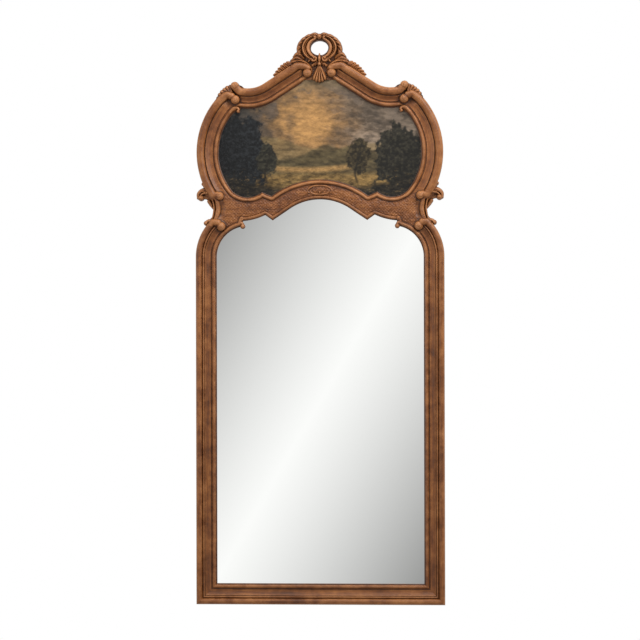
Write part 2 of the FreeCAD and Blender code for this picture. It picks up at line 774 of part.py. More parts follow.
NODES = []
middle_of_wood = size("moulding_width") - size("roll_width")
JOINTS = {
    "corner_side": (*on_head(middle_of_wood, size("head_high_joint")), -size("head_high_joint")),
    "corner_top": (*on_dip(middle_of_wood, size("ogee_outer_joint")), as_size(90) - size("ogee_outer_joint")),
    "crest": (*on_run(middle_of_wood, run_length), size("ogee_slope") - 90),
    "waist_head": (*on_head(middle_of_wood, -size("head_low_joint")), size("head_low_joint")),
    "waist_stile": (*on_shoulder(middle_of_wood, size("shoulder_joint")), -size("shoulder_joint")),
}


def dowel_hole(joint, piece):
    x, z, angle = JOINTS[joint]
    return joint_pin(f"{piece}_{joint}_hole", size("dowel_radius") + size("dowel_gap"), x, z, angle)


def dowel(joint):
    x, z, angle = JOINTS[joint]
    both_sides(f"{joint}_dowel", joint_pin(f"{joint}_dowel", size("dowel_radius"), x, z, angle))


# Where the screws stand, on the viewer's right: x, height, depth of the head's seat, length of the shank.
wood_of_board = size("screw_radius") + size("running_gap")
floor_n = (size("rebate_width") + size("back_rebate_width")) / 2
board_seat = size("rebate_floor") - size("board_thickness")
board_shank = size("board_thickness") + size("screw_grip")
SIDE_SCREWS = [(sight_x + floor_n, shoulder_z * share) for share in (0.1, 0.45, 0.8)]
FOOT_SCREWS = [(sight_x * share, sight_foot - floor_n) for share in (0.28, 0.82)]
TOP_SCREWS = [((size("plate_arch_x") + plate_top_x) / 2, shoulder_z + size("plate_top_rise")
               + floor_n - plate_fit)]
button_seat = size("rebate_floor") - size("button_thickness") - size("running_gap")
button_shank = size("rebate_floor") - button_seat + size("screw_grip")
BUTTONS = {"upper": size("button_angle"), "lower": -size("button_angle")}
hanger_x = half_body - size("hanger_inset")
hanger_z = size("hanger_height")
strap_seat = size("hanger_pocket") - size("strap_thickness")
strap_shank = size("strap_thickness") + size("screw_grip")
STRAP_SCREWS = [(hanger_x, hanger_z - size("strap_screw_first")),
                (hanger_x, hanger_z - size("strap_screw_second"))]


def screw_hole(name, x, z, seat, length):
    return forward_pin(name, wood_of_board, length, x, z, seat)


def screw_blank(name, shank):
    """A round-headed screw that points forwards, its seat at the origin."""
    body = new_body(name)
    profile = [
        (ZERO, -shank, None),
        (size("screw_radius"), -shank, None),
        (size("screw_radius"), ZERO, None),
        (size("screw_head_radius"), ZERO, -dome_rise(size("screw_head_radius"), size("screw_head_height"))),
        (ZERO, size("screw_head_height"), None),
    ]
    revolve(body, sketch_on(body, "XY_Plane", profile), "V_Axis", 360)
    half = size("slot_width") / 2
    floor = size("screw_head_height") - size("slot_depth")
    slot = [
        (-half, floor, None),
        (half, floor, None),
        (half, size("screw_head_height") * 2, None),
        (-half, size("screw_head_height") * 2, None),
    ]
    made = pocket(body, sketch_on(body, "XY_Plane", slot), size("screw_head_radius") * 4)
    made.Midplane = True
    return body


def screws(label, shank, places):
    """One node of equal screws, each linked to the same blank."""
    blank = screw_blank(f"{label}_blank", shank)
    links = []
    for here, (x, z, seat) in enumerate(places):
        made = doc.addObject("App::Link", f"{label}_{here + 1}")
        made.LinkedObject = blank
        made.LinkTransform = False
        made.setExpression("Placement.Base.x", as_size(x).formula)
        made.setExpression("Placement.Base.y", as_size(-seat).formula)
        made.setExpression("Placement.Base.z", as_size(z).formula)
        links.append(made)
    group = doc.addObject("Part::Compound", label)
    group.Links = links
    single(label, group)


def both(places, seat):
    return [(x * side, z, seat) for side in (1, -1) for x, z in places]


# ---------------------------------------------------------------- frame pieces

def mitre_key(name):
    """A loose tongue across the foot's mitre."""
    n_middle = size("moulding_width") * 0.6
    long, wide = size("key_length"), size("key_width")
    slope = 0.5 ** 0.5
    x = sight_x + n_middle - (long + wide) * (slope / 2)
    z = sight_foot - n_middle + (long - wide) * (slope / 2)
    return bound("Part::Box", name, {"Length": long, "Width": size("key_thickness"), "Height": wide},
                 x, z, size("key_depth") + size("key_thickness"), Vector(0, 1, 0), 45)


def build_stile():
    pocket_box = box("hanger_pocket_box", size("pocket_width"), size("hanger_pocket"),
                     size("pocket_up") + size("pocket_down"), hanger_x - size("pocket_width") / 2,
                     hanger_z - size("pocket_down"), ZERO)
    cutters = [pocket_box, mitre_key("stile_key_slot"), dowel_hole("waist_stile", "stile")]
    for here, (x, z) in enumerate(STRAP_SCREWS):
        cutters.append(screw_hole(f"stile_strap_hole_{here}", x, z, size("hanger_pocket"), size("screw_grip")))
    for here, (x, z) in enumerate(SIDE_SCREWS):
        cutters.append(screw_hole(f"stile_board_hole_{here}", x, z, size("rebate_floor"), size("screw_grip")))
    both_sides("stile", cut("right_stile", stile(), cutters))


def build_bottom_rail():
    right_key = mitre_key("rail_key_slot")
    cutters = [right_key, mirror("rail_key_slot_left", right_key)]
    for here, (x, z, _) in enumerate(both(FOOT_SCREWS, ZERO)):
        cutters.append(screw_hole(f"foot_hole_{here}", x, z, size("rebate_floor"), size("screw_grip")))
    single("bottom_rail", cut("bottom_rail", bottom_rail(), cutters))


def pocket_outline(body, corners, depth):
    """A rebate of this outline, cut from the wall side to a depth."""
    pocket(body, sketch_on(body, "XZ_Plane", corners), depth, reversed_way=True)


def add_boss(body, x, z, radius, foot):
    """A domed boss on the body, turned about its own middle."""
    profile = [
        (ZERO, -foot, None),
        (radius, -foot, None),
        (radius, -size("boss_skirt"), dome_rise(radius, size("boss_top") - size("boss_skirt"))),
        (ZERO, -size("boss_top"), None),
    ]
    revolve(body, sketch_on(body, "XY_Plane", profile, (x, ZERO, z)), "V_Axis", 360)


def build_middle_rail():
    """The shaped rail between plate and picture, with its bosses and the curled ends of the mirror's bead."""
    body = new_body("middle_rail_blank")
    pad(body, sketch_on(body, "XZ_Plane", rail_outline()), size("ground_depth"))
    for outline in (plate_outline, panel_outline):
        pocket_outline(body, outline(size("rebate_width")), size("lip_back"))
        pocket_outline(body, outline(size("back_rebate_width")), size("rebate_floor"))
    foot = size("ground_depth") - 2
    upper = on_head(size("head_moulding") - size("upper_boss_inset"), -size("upper_boss_angle"))
    lower = on_shoulder(size("moulding_width") - size("lower_boss_inset"), size("lower_boss_angle"))
    curl = on_shoulder(size("inner_curl_radius"), size("shoulder_end") - 4)
    for side in (1, -1):
        add_boss(body, upper[0] * side, upper[1], size("boss_radius"), foot)
        add_boss(body, lower[0] * side, lower[1], size("boss_radius"), foot)
        add_boss(body, curl[0] * side, curl[1], size("inner_curl_radius"), foot)
    cutters = []
    for joint in ("waist_head", "waist_stile"):
        hole = dowel_hole(joint, "rail")
        cutters += [hole, mirror(f"rail_{joint}_hole_left", hole)]
    for here, (x, z, _) in enumerate(both(TOP_SCREWS, ZERO)):
        cutters.append(screw_hole(f"top_hole_{here}", x, z, size("rebate_floor"), size("screw_grip")))
    single("middle_rail", cut("middle_rail", body, cutters))


def button_place(angle):
    return on_head(size("button_pivot"), angle)


def build_head_side():
    cutters = [dowel_hole("corner_side", "head_side"), dowel_hole("waist_head", "head_side")]
    for name, angle in BUTTONS.items():
        x, z = button_place(angle)
        cutters.append(screw_hole(f"{name}_button_hole", x, z, size("rebate_floor"), size("screw_grip")))
    both_sides("head_side", cut("right_head_side", head_side(), cutters))


def build_head_top():
    cutters = [dowel_hole("corner_top", "head_top"), dowel_hole("crest", "head_top")]
    both_sides("head_top", cut("right_head_top", head_top(), cutters))


def corner_carving(hub_x, hub_z):
    """The shell's ribs and the eyes of the volutes beside it, in plain numbers."""
    reach = size("fan_reach").value
    tip = size("fan_rib_radius").value
    depth = size("fan_depth").value
    hub = point(hub_x, hub_z, depth)
    solids = []
    for angle in (78, 61, 44, 27, 10, -7):
        way = Vector(math.cos(math.radians(angle)), 0, math.sin(math.radians(angle)))
        solids.append(rib(hub, hub + way * (reach - tip), tip * 0.6, tip))
    eye = size("volute_radius").value
    for rise in (36, -6):
        solids.append(boss(hub_x - eye, hub_z + rise, eye, depth - 8, depth + 6, size("volute_top").value))
    return fused(solids)


def build_corner_block():
    """The block where the side and top mouldings meet, with its shell and volutes."""
    outer_x, outer_z = on_head(size("head_moulding"), size("head_high_joint"))
    hub_x, hub_z = outer_x - size("corner_hub_in"), outer_z + size("corner_hub_rise")
    reach = size("fan_reach") - 3

    def on_fan(angle):
        return hub_x + reach * cosine(as_size(angle)), hub_z + reach * sine(as_size(angle))

    outline = [
        (*on_head(ZERO, size("head_high_joint")), None),
        (*on_dip(ZERO, size("ogee_outer_joint")), None),
        (*on_dip(size("ogee_moulding"), size("ogee_outer_joint")), size("volute_radius") * 0.45),
        (*on_fan(84), reach * 0.32),
        (*on_fan(-9), None),
        (outer_x, outer_z, None),
    ]
    body = new_body("corner_block_blank")
    pad(body, sketch_on(body, "XZ_Plane", outline), size("ground_depth"))
    pocket_outline(body, panel_outline(size("rebate_width")), size("lip_back"))
    pocket_outline(body, panel_outline(size("back_rebate_width")), size("rebate_floor"))
    add_boss(body, hub_x - size("volute_radius") * 1.6, hub_z - size("fan_reach"), size("inner_curl_radius"),
             size("ground_depth") - 2)
    carving = feature("corner_carving", corner_carving(hub_x.value, hub_z.value))
    block = fuse("corner_block_whole", [body, carving])
    cutters = [dowel_hole("corner_side", "corner"), dowel_hole("corner_top", "corner")]
    both_sides("corner_block", cut("right_corner_block", block, cutters))


def crest_carving(top_z, hole_z):
    """The ring's petals and scrolls, the shell and the volutes under it, in plain numbers."""
    depth = size("crest_ground").value
    petal = size("petal_radius").value
    half_width = size("crest_half_width").value - petal
    half_height = size("ring_hole_drop").value - petal
    hole_width = size("ring_hole_width").value / 2 + size("scroll_radius").value
    hole_height = size("ring_hole_height").value / 2 + size("scroll_radius").value
    solids = []
    for angle in (9, 36, 62, 90, 118, 144, 171):
        across, up = math.cos(math.radians(angle)), math.sin(math.radians(angle))
        root_point = point(hole_width * across, hole_z + hole_height * up, depth - petal * 0.7)
        tip = point(half_width * across, hole_z + half_height * up, depth - petal * 0.7)
        if (tip - root_point).Length > petal / 2:
            solids.append(rib(root_point, tip, petal * 0.7, petal))
    for side in (1, -1):
        round_hole = Part.Ellipse(Vector(0, 0, 0), hole_width, hole_height)
        middle = 90 - 90 * side
        ends = [math.radians(middle - 68), math.radians(middle + 72)]
        edge = Part.ArcOfEllipse(round_hole, ends[0], ends[1]).toShape()
        edge.rotate(Vector(0, 0, 0), Vector(1, 0, 0), 90)
        edge.translate(point(0, hole_z, depth - 1))
        solids.append(tube(edge, size("scroll_radius").value))
        eye = size("volute_radius").value
        volute_x, volute_z = on_run(size("crest_volute_out"), run_length + size("crest_volute_along"))
        solids.append(boss(side * volute_x.value, volute_z.value, eye, depth - 6, depth + 8,
                           size("volute_top").value))
    shell_hub = point(0, top_z - size("shell_drop").value, size("shell_depth").value - 4)
    reach = size("shell_reach").value
    tip = size("shell_rib_radius").value
    for angle in (-52, -26, 0, 26, 52):
        way = Vector(math.sin(math.radians(angle)), 0, -math.cos(math.radians(angle)))
        length = reach * math.cos(math.radians(angle)) - tip
        solids.append(rib(shell_hub, shell_hub + way * length, tip * 0.6, tip))
    return solids


def build_crest():
    """The pierced crest between the two top mouldings."""
    joint_low = on_run(ZERO, run_length)
    joint_high = on_run(size("ogee_moulding"), run_length)
    side_z = joint_high[1] + size("crest_side")
    top_z = side_z + size("crest_dome")
    hole_z = top_z - size("ring_hole_drop")
    half = [
        (size("crest_half_width"), side_z, None),
        (*joint_high, None),
        (*joint_low, None),
    ]
    body = new_body("crest_blank")
    pad(body, sketch_on(body, "XZ_Plane", mirrored(half, None, size("crest_dome")),
                        (ZERO, ZERO, size("crest_back"))), size("crest_ground") - size("crest_back"))
    pocket_outline(body, panel_outline(size("rebate_width")), size("lip_back"))
    pocket_outline(body, panel_outline(size("back_rebate_width")), size("rebate_floor"))
    carving = [feature(f"crest_carving_{here}", solid)
               for here, solid in enumerate(crest_carving(top_z.value, hole_z.value))]
    whole = fuse("crest_whole", [body] + carving)
    hole_ring = new_body("ring_hole")
    hole_half = size("ring_hole_width") / 2
    low = hole_z - size("ring_hole_height") / 2
    hole = [
        (hole_half, low + size("ring_hole_height") * 0.75, size("ring_hole_height") * 0.25),
        (-hole_half, low + size("ring_hole_height") * 0.75, None),
        (-hole_half, low + size("ring_hole_height") * 0.25, size("ring_hole_height") * 0.25),
        (hole_half, low + size("ring_hole_height") * 0.25, None),
    ]
    hole = [(x, z, None if rise is None else -rise) for x, z, rise in hole]
    pad(hole_ring, sketch_on(hole_ring, "XZ_Plane", hole), size("crest_ground") * 2)
    right_hole = dowel_hole("crest", "crest")
    cutters = [hole_ring, right_hole, mirror("crest_hole_left", right_hole)]
    single("crest", cut("crest", whole, cutters))


def build_crest_spray():
    """The leaf spray that lies along the top moulding beside the crest."""
    run, steps = size("spray_length"), 4
    start = run_length
    body = new_body("crest_spray_blank")
    foot = size("ogee_moulding")
    outline = [(*on_run(foot, start - run), None)]
    for step in range(steps):
        along = start - run * ((steps - step - 0.35) / steps)
        height = size("spray_height") * (0.55 + 0.45 * (step + 1) / steps)
        outline.append((*on_run(foot + height, along), None))
        outline.append((*on_run(foot + height * 0.72, along + run * 0.45 / steps), None))
    outline.append((*on_run(foot + size("spray_height") * 0.9, start - 1), None))
    outline.append((*on_run(foot, start - 1), None))
    outline.reverse()
    pad(body, sketch_on(body, "XZ_Plane", outline, (ZERO, ZERO, size("spray_back"))),
        size("spray_front") - size("spray_back"))
    both_sides("crest_spray", body)


def waist_leaf(root_x, root_z, curl_x, curl_z):
    """The leaf over the waist scroll and the curl under it, in plain numbers."""
    depth = (size("scroll_back").value + size("scroll_front").value) / 2 + 4
    reach = size("leaf_reach").value
    root_point = point(root_x, root_z, depth)
    solids = []
    for angle, more in ((64, 10), (28, 5), (-12, 1)):
        way = Vector(math.cos(math.radians(angle)), 0, math.sin(math.radians(angle)))
        solids.append(rib(root_point, root_point + way * (reach + more - 7), 9, 7))
    radius = size("lower_curl_radius").value
    solids.append(boss(curl_x, curl_z, radius, size("scroll_back").value, size("boss_skirt").value,
                       size("boss_top").value))
    return fused(solids[:-1]), solids[-1]


def build_waist_scroll():
    """The C scroll in the hollow between the head and the stile, with its leaf and curl."""
    top = on_head(size("head_moulding"), -size("head_low_joint"))
    foot = on_shoulder(size("moulding_width"), size("shoulder_joint"))
    width, height = foot[0] - top[0], foot[1] - top[1]
    chord = root(width * width + height * height)
    sink = size("waist_sink")
    radius = (chord * chord / 4 + sink * sink) / (sink * 2)
    centre_x = (top[0] + foot[0]) / 2 - height / chord * (radius - sink)
    centre_z = (top[1] + foot[1]) / 2 + width / chord * (radius - sink)
    share = size("scroll_width") / radius

    def inwards(place):
        return place[0] + (centre_x - place[0]) * share, place[1] + (centre_z - place[1]) * share

    band = [
        (*top, -sink),
        (*foot, None),
        (*inwards(foot), sink * (as_size(1) - share)),
        (*inwards(top), None),
    ]
    body = new_body("waist_scroll_blank")
    drawn = sketch_on(body, "XZ_Plane", band, (ZERO, ZERO, size("scroll_back")))
    pad(body, drawn, size("scroll_front") - size("scroll_back"))
    root_x = top[0].value + 5
    root_z = top[1].value - 10
    leaf, curl = waist_leaf(root_x, root_z, foot[0].value + 5, foot[1].value + 3)
    whole = fuse("waist_scroll_whole", [body, feature("waist_leaf", leaf), feature("waist_curl", curl)])
    long = size("roll_edge") * 2
    head_edge = forward_pin("waist_head_edge", size("head_radius") + size("head_moulding"), long, head_x, head_z, ZERO)
    stile_edge = forward_pin("waist_stile_edge", size("shoulder_radius") + size("moulding_width"), long,
                             shoulder_x, shoulder_z, ZERO)
    single_cut = cut("waist_scroll_clear_of_head", whole, [head_edge])
    both_sides("waist_scroll", cut("right_waist_scroll", single_cut, [stile_edge]))


# ---------------------------------------------------------------- plate, boards and picture

def build_plate():
    plate = layer("mirror_plate", plate_outline(plate_fit), size("lip_back"), size("glass_thickness"))
    single("mirror_plate", plate)
    back = size("rebate_floor")
    leg = size("plate_bead_leg")
    wall = sight_x + size("rebate_width")
    deep = size("lip_back") - size("glass_thickness") - back
    low = sight_foot - size("rebate_width")
    side_bead = box("right_plate_bead", leg, deep, shoulder_z - low - leg, wall - leg, low + leg, back)
    both_sides("plate_bead", side_bead)
    single("bottom_plate_bead", box("bottom_plate_bead", wall * 2, deep, leg, -wall, low, back))
    pad_length = size("pad_length")
    cushion = box("right_plate_pad", pad_length, size("glass_thickness"), size("edge_clearance"),
                  sight_x / 2 - pad_length / 2, low, size("lip_back") - size("glass_thickness"))
    both_sides("plate_pad", cushion)


def build_backboards():
    """Upright boards side by side, with gaps so that they can move."""
    count = int(size("board_count").value)
    total = (sight_x + board_fit) * 2
    each = total / count
    gap = size("board_gap")
    tops = both(TOP_SCREWS, ZERO)
    for here in range(count):
        blank = layer(f"backboard_blank_{here + 1}", plate_outline(board_fit), size("rebate_floor"),
                      size("board_thickness"))
        low_x = -total / 2 + each * here
        window = box(f"backboard_window_{here + 1}", each - gap, size("rebate_floor") * 2,
                     shoulder_z * 1.5, low_x + gap / 2, ZERO, ZERO)
        board = common(f"backboard_{here + 1}_whole", blank, window)
        holes = []
        for number, (x, z, _) in enumerate(both(SIDE_SCREWS, ZERO) + both(FOOT_SCREWS, ZERO) + tops):
            if low_x.value < x.value < low_x.value + each.value:
                holes.append(screw_hole(f"backboard_{here + 1}_hole_{number}", x, z, board_seat,
                                        size("board_thickness")))
        single(f"backboard_{here + 1}", cut(f"backboard_{here + 1}", board, holes))


def build_picture():
    canvas = size("canvas_thickness")
    single("picture_canvas", layer("picture_canvas", panel_outline(plate_fit), size("lip_back"), canvas))
    front = size("lip_back") - canvas
    thickness = front - size("rebate_floor")
    split = head_z + size("picture_split")
    wide = size("body_width")
    for name, low, high in (("lower", shoulder_z, split), ("upper", split, ogee_z)):
        blank = layer(f"picture_board_blank_{name}", panel_outline(plate_fit), front, thickness)
        window = box(f"picture_window_{name}", wide, size("lip_back") * 2, high - low, -wide / 2, low, ZERO)
        single(f"picture_board_{name}", common(f"picture_board_{name}", blank, window))
    batten = box("right_picture_batten", size("batten_width"), size("batten_thickness"), size("batten_length"),
                 size("batten_x") - size("batten_width") / 2, head_z - size("batten_length") / 2,
                 size("rebate_floor") - size("batten_thickness"))
    both_sides("picture_batten", batten)


def build_buttons():
    """Turn buttons that keep the panel in its rebate, each on its own screw."""
    half = size("button_width") / 2
    screws_at = []
    for name, angle in BUTTONS.items():
        x, z = button_place(angle)
        blank = new_body(f"{name}_button_blank")
        outline = [
            (ZERO, -half, None),
            (size("button_reach"), -half, None),
            (size("button_reach"), half, None),
            (ZERO, half, -half * 0.8),
        ]
        pad(blank, sketch_on(blank, "XZ_Plane", outline), size("button_thickness"))
        blank.Placement = FreeCAD.Placement(Vector(0, 0, 0), Vector(0, 1, 0), 1.0)
        blank.setExpression("Placement.Rotation.Angle", (as_size(180) - angle).formula)
        blank.setExpression("Placement.Base.x", x.formula)
        blank.setExpression("Placement.Base.y", (size("button_thickness") - size("rebate_floor")).formula)
        blank.setExpression("Placement.Base.z", z.formula)
        hole = forward_pin(f"{name}_button_bore", wood_of_board, size("rebate_floor"), x, z, ZERO)
        both_sides(f"{name}_turn_button", cut(f"right_{name}_button", blank, [hole]))
        screws_at.append((x, z))
    screws("turn_button_screws", button_shank, both(screws_at, button_seat))


# ---------------------------------------------------------------- hangers

def build_hangers():
    """A strap with a loop, screwed into its pocket, and a ring that swings in the loop."""
    axis_depth = size("hanger_pocket") - size("loop_radius")
    strap = box("strap_plate", size("strap_width"), size("strap_thickness"), size("strap_length"),
                hanger_x - size("strap_width") / 2, hanger_z - size("strap_length"), strap_seat)
    loop = sideways_pin("strap_loop", size("loop_radius"), size("loop_width"), hanger_x, hanger_z, axis_depth)
    eye = sideways_pin("strap_eye", size("wire_radius") + size("running_gap"), size("strap_width") * 2,
                       hanger_x, hanger_z, axis_depth)
    cutters = [eye]
    for here, (x, z) in enumerate(STRAP_SCREWS):
        cutters.append(screw_hole(f"strap_hole_{here}", x, z, ZERO, size("hanger_pocket") * 2))
    both_sides("hanger_strap", cut("right_strap", fuse("strap_whole", [strap, loop]), cutters))

    wire = size("wire_radius")
    half = size("ring_half_width")
    leg = size("ring_leg")
    pieces = [sideways_pin("ring_bar", wire, half * 2, hanger_x, hanger_z, axis_depth)]
    for side in (1, -1):
        x = hanger_x + half * side
        pieces.append(bound("Part::Sphere", "ring_corner", {"Radius": wire}, x, hanger_z, axis_depth))
        pieces.append(bound("Part::Cylinder", "ring_leg", {"Radius": wire, "Height": leg}, x, hanger_z - leg,
                            axis_depth))
    bow = bound("Part::Torus", "ring_bow", {"Radius1": half, "Radius2": wire}, hanger_x, hanger_z - leg,
                axis_depth, Vector(1, 0, 0), -90)
    bow.Angle3 = 180
    pieces.append(bow)
    both_sides("hanger_ring", fuse("right_ring", pieces))
    screws("hanger_screws", strap_shank, both(STRAP_SCREWS, strap_seat))


def build_all():
    build_stile()
    build_bottom_rail()
    build_middle_rail()
    build_head_side()
    build_head_top()
    build_corner_block()
    build_crest()
    build_crest_spray()
    build_waist_scroll()
    for joint in JOINTS:
        dowel(joint)
    both_sides("mitre_key", mitre_key("right_mitre_key"))
    build_plate()
    build_backboards()
    screws("backboard_screws", board_shank, both(SIDE_SCREWS + FOOT_SCREWS + TOP_SCREWS, board_seat))
    build_picture()
    build_buttons()
    build_hangers()


build_all()
doc.recompute()

for item in doc.Objects:
    if "Invalid" in item.State or "Error" in item.State:
        raise RuntimeError(f"{item.Label} wasn't made: {item.State}")
os.makedirs("parts", exist_ok=True)
for node in NODES:
    shape = node.Shape
    if shape.isNull() or not shape.isValid() or not shape.Solids:
        raise RuntimeError(f"{node.Label} has no sound solid")
    shape.exportStep(f"parts/{node.Label}.step")
    extent = shape.BoundBox
    print(f"{node.Label}: {len(shape.Solids)} solids, {shape.Volume / 1000:.1f} cm3, "
          f"x {extent.XMin:.1f} {extent.XMax:.1f}, y {extent.YMin:.1f} {extent.YMax:.1f}, "
          f"z {extent.ZMin:.1f} {extent.ZMax:.1f}")
print(len(NODES), "pieces")
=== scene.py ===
"""Looks of a carved trumeau mirror, laid out as a Blender add-on and run as a script.

Shapes are worked out in millimetres in the frame's own axes: x to the viewer's right, z up, and a depth
measured forwards from the wall, so a depth is minus Y. Meshes are written in metres.
"""

import math

import bpy
import numpy as np
from mathutils import Matrix, Vector


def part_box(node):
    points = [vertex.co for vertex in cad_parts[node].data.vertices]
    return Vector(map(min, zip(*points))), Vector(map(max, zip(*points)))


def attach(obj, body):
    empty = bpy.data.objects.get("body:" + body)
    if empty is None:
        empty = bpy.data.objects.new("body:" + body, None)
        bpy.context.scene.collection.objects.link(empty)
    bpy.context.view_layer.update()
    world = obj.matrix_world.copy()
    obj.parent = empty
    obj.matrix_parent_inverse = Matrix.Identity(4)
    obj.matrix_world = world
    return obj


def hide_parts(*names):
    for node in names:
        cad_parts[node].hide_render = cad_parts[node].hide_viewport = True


bl_info = {
    "name": "Trumeau Mirror",
    "version": (1, 0, 0),
    "blender": (4, 5, 0),
    "location": "View3D > Sidebar > Trumeau",
    "description": "Dresses a carved wall mirror with a painted panel",
    "category": "Object",
}

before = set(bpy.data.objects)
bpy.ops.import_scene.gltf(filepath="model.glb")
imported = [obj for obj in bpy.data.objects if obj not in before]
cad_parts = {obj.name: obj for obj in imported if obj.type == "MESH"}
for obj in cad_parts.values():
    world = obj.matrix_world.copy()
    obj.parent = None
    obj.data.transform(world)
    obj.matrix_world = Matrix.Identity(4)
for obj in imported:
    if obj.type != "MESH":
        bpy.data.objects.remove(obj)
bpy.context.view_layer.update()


# ---------------------------------------------------------------- plan of the frame, read from its nodes

RAIL_HIGH = np.array(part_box("bottom_rail")[1]) * 1000.0
BODY_HALF = RAIL_HIGH[0]                       # half width of the lower frame
WIDTH = RAIL_HIGH[2]                           # width of its moulding
SIGHT_X = BODY_HALF - WIDTH                    # sight edge of the plate
SHOULDER_R = 97.5                              # sight radius of the shoulder
SHOULDER_Z = 1093.0                            # height of the shoulder's centre
SHOULDER = np.array([SIGHT_X - SHOULDER_R, SHOULDER_Z])
SHOULDER_END = 40.0                            # joint between stile and middle rail, degrees
HEAD_R = 190.5                                 # sight radius of the picture's sides
HEAD_WIDTH = 69.0                              # width of the side moulding round the picture
HEAD_HALF, HEAD_Z = 388.0, 1422.0              # half width of the head, and its centre's height
HEAD = np.array([HEAD_HALF - HEAD_WIDTH - HEAD_R, HEAD_Z])
HEAD_LOW, HEAD_TOP = -30.0, 39.5               # joints of the side moulding, degrees
DIP_R = 155.0                                  # sight radius of the dip over the picture
DIP_WIDTH = 63.0                               # width of the moulding there
DIP = np.array([225.0, HEAD_Z + 293.5])        # centre of the dip
DIP_OUT, SLOPE, RUN = 8.0, 33.0, 100.0         # joint angle, slope and length of the run to the crest
LIP, BOARD_FLOOR = 24.0, 12.0                  # depths of the lip's back and of the boards' seat
REBATE, BOARD_EDGE = 12.0, 26.0                # how far outwards the plate and the boards reach
GROUND = 30.0                                  # depth of the carved ground
HANGER_Z, HANGER_HALF, HANGER_DEPTH = 998.5, 38.5, 9.0  # pocket for a hanger in the stile's back
PANEL_HALF, PANEL_FOOT, PANEL_TALL = 330.0, 1262.0, 404.0  # the picture's own frame of reference

WOOD_DARK, WOOD_MIDDLE, WOOD_LIGHT = "#4d280f", "#74421b", "#935c2a"
# The first: the paler colour laid on ridges, for wax wear and a painted highlight; the second: the dark
# colour laid in hollows, for dark wax and painted shade, and in the pores.
WOOD_WORN_AND_HIGHLIT, WOOD_WAX_AND_SHADE = "#ad764a", "#331807"
KEY_POWER, FILL_LEVEL = 95.0, 0.55
CAMERA_PLACE = (0.3494, -7.0, 0.8800)
CAMERA_YAW, CAMERA_PITCH, CAMERA_ROLL = 0.0501, 0.002, -0.0022
CAMERA_FOCAL, CAMERA_SENSOR = 2219.7, 36.0     # in pixels of the 640-pixel frame, and in millimetres


def polar(centre, radius, degrees):
    """Points on a circle, at angles from level."""
    turn = np.radians(degrees)
    return np.stack([centre[0] + radius * np.cos(turn), centre[1] + radius * np.sin(turn)], -1)


def dip_point(radius, degrees):
    """Points in the dip, at angles from its lowest point, positive towards the corner."""
    turn = np.radians(degrees)
    return np.stack([DIP[0] + radius * np.sin(turn), DIP[1] - radius * np.cos(turn)], -1)


def run_point(outwards, along):
    """A point outwards from the sight edge, along the straight run to the crest."""
    slope = math.radians(SLOPE)
    return dip_point(DIP_R - outwards, -SLOPE) + np.array([-math.cos(slope), math.sin(slope)]) * along


# ---------------------------------------------------------------- noise, curves and distances

def soft_noise(x, y, seed):
    """Value noise, -1 to 1: random numbers on a repeating 64 by 64 lattice, blended by a cubic."""
    table = np.random.default_rng(seed).random((64, 64)) * 2.0 - 1.0
    x0, y0 = np.floor(x).astype(int), np.floor(y).astype(int)
    fx, fy = x - x0, y - y0
    fx, fy = fx * fx * (3 - 2 * fx), fy * fy * (3 - 2 * fy)
    a = table[x0 % 64, y0 % 64]
    b = table[(x0 + 1) % 64, y0 % 64]
    c = table[x0 % 64, (y0 + 1) % 64]
    d = table[(x0 + 1) % 64, (y0 + 1) % 64]
    return (a * (1 - fx) + b * fx) * (1 - fy) + (c * (1 - fx) + d * fx) * fy


def rough(x, y, seed, octaves=4, fade=0.5):
    """Fractal noise: octaves of value noise, each twice as fine and fade as strong."""
    total, strength, sum_of = 0.0, 1.0, 0.0
    for octave in range(octaves):
        total = total + strength * soft_noise(x * 2 ** octave + 7.3 * octave, y * 2 ** octave, seed + octave)
        sum_of += strength
        strength *= fade
    return total / sum_of


def step_between(low, high, value):
    """0 below low, 1 above high, and a smooth cubic between."""
    share = np.clip((value - low) / (high - low), 0.0, 1.0)
    return share * share * (3 - 2 * share)


def flowing(points, count):
    """A smooth curve through control points: a Catmull-Rom spline with that many points."""
    p = np.asarray(points, float)
    if len(p) == 2:
        return p[0] + (p[1] - p[0]) * np.linspace(0, 1, count)[:, None]
    q = np.vstack([2 * p[0] - p[1], p, 2 * p[-1] - p[-2]])
    t = np.linspace(0, len(p) - 1 - 1e-9, count)
    i = t.astype(int)
    u = (t - i)[:, None]
    a, b, c, d = q[i], q[i + 1], q[i + 2], q[i + 3]
    return 0.5 * (2 * b + (c - a) * u + (2 * a - 5 * b + 4 * c - d) * u ** 2
                  + (3 * b - a - 3 * c + d) * u ** 3)


def nearest(x, z, line):
    """Distance to a polyline, the share of its length there, and the side (+1 on its left)."""
    flat = np.stack([x.ravel(), z.ravel()], 1)
    best = np.full(len(flat), 1e9)
    share = np.zeros(len(flat))
    side = np.ones(len(flat))
    seg = line[1:] - line[:-1]
    length = np.hypot(seg[:, 0], seg[:, 1]) + 1e-9
    before = np.concatenate([[0], np.cumsum(length)])
    for start in range(0, len(flat), 20000):
        part = slice(start, start + 20000)
        rel = flat[part, None, :] - line[None, :-1, :]
        t = np.clip((rel * seg).sum(2) / length ** 2, 0, 1)
        off = rel - t[:, :, None] * seg
        dist = np.hypot(off[:, :, 0], off[:, :, 1])
        k = dist.argmin(1)
        row = np.arange(len(k))
        best[part] = dist[row, k]
        share[part] = (before[k] + t[row, k] * length[k]) / before[-1]
        cross = seg[k, 0] * rel[row, k, 1] - seg[k, 1] * rel[row, k, 0]
        side[part] = np.where(cross >= 0, 1.0, -1.0)
    return best.reshape(x.shape), share.reshape(x.shape), side.reshape(x.shape)


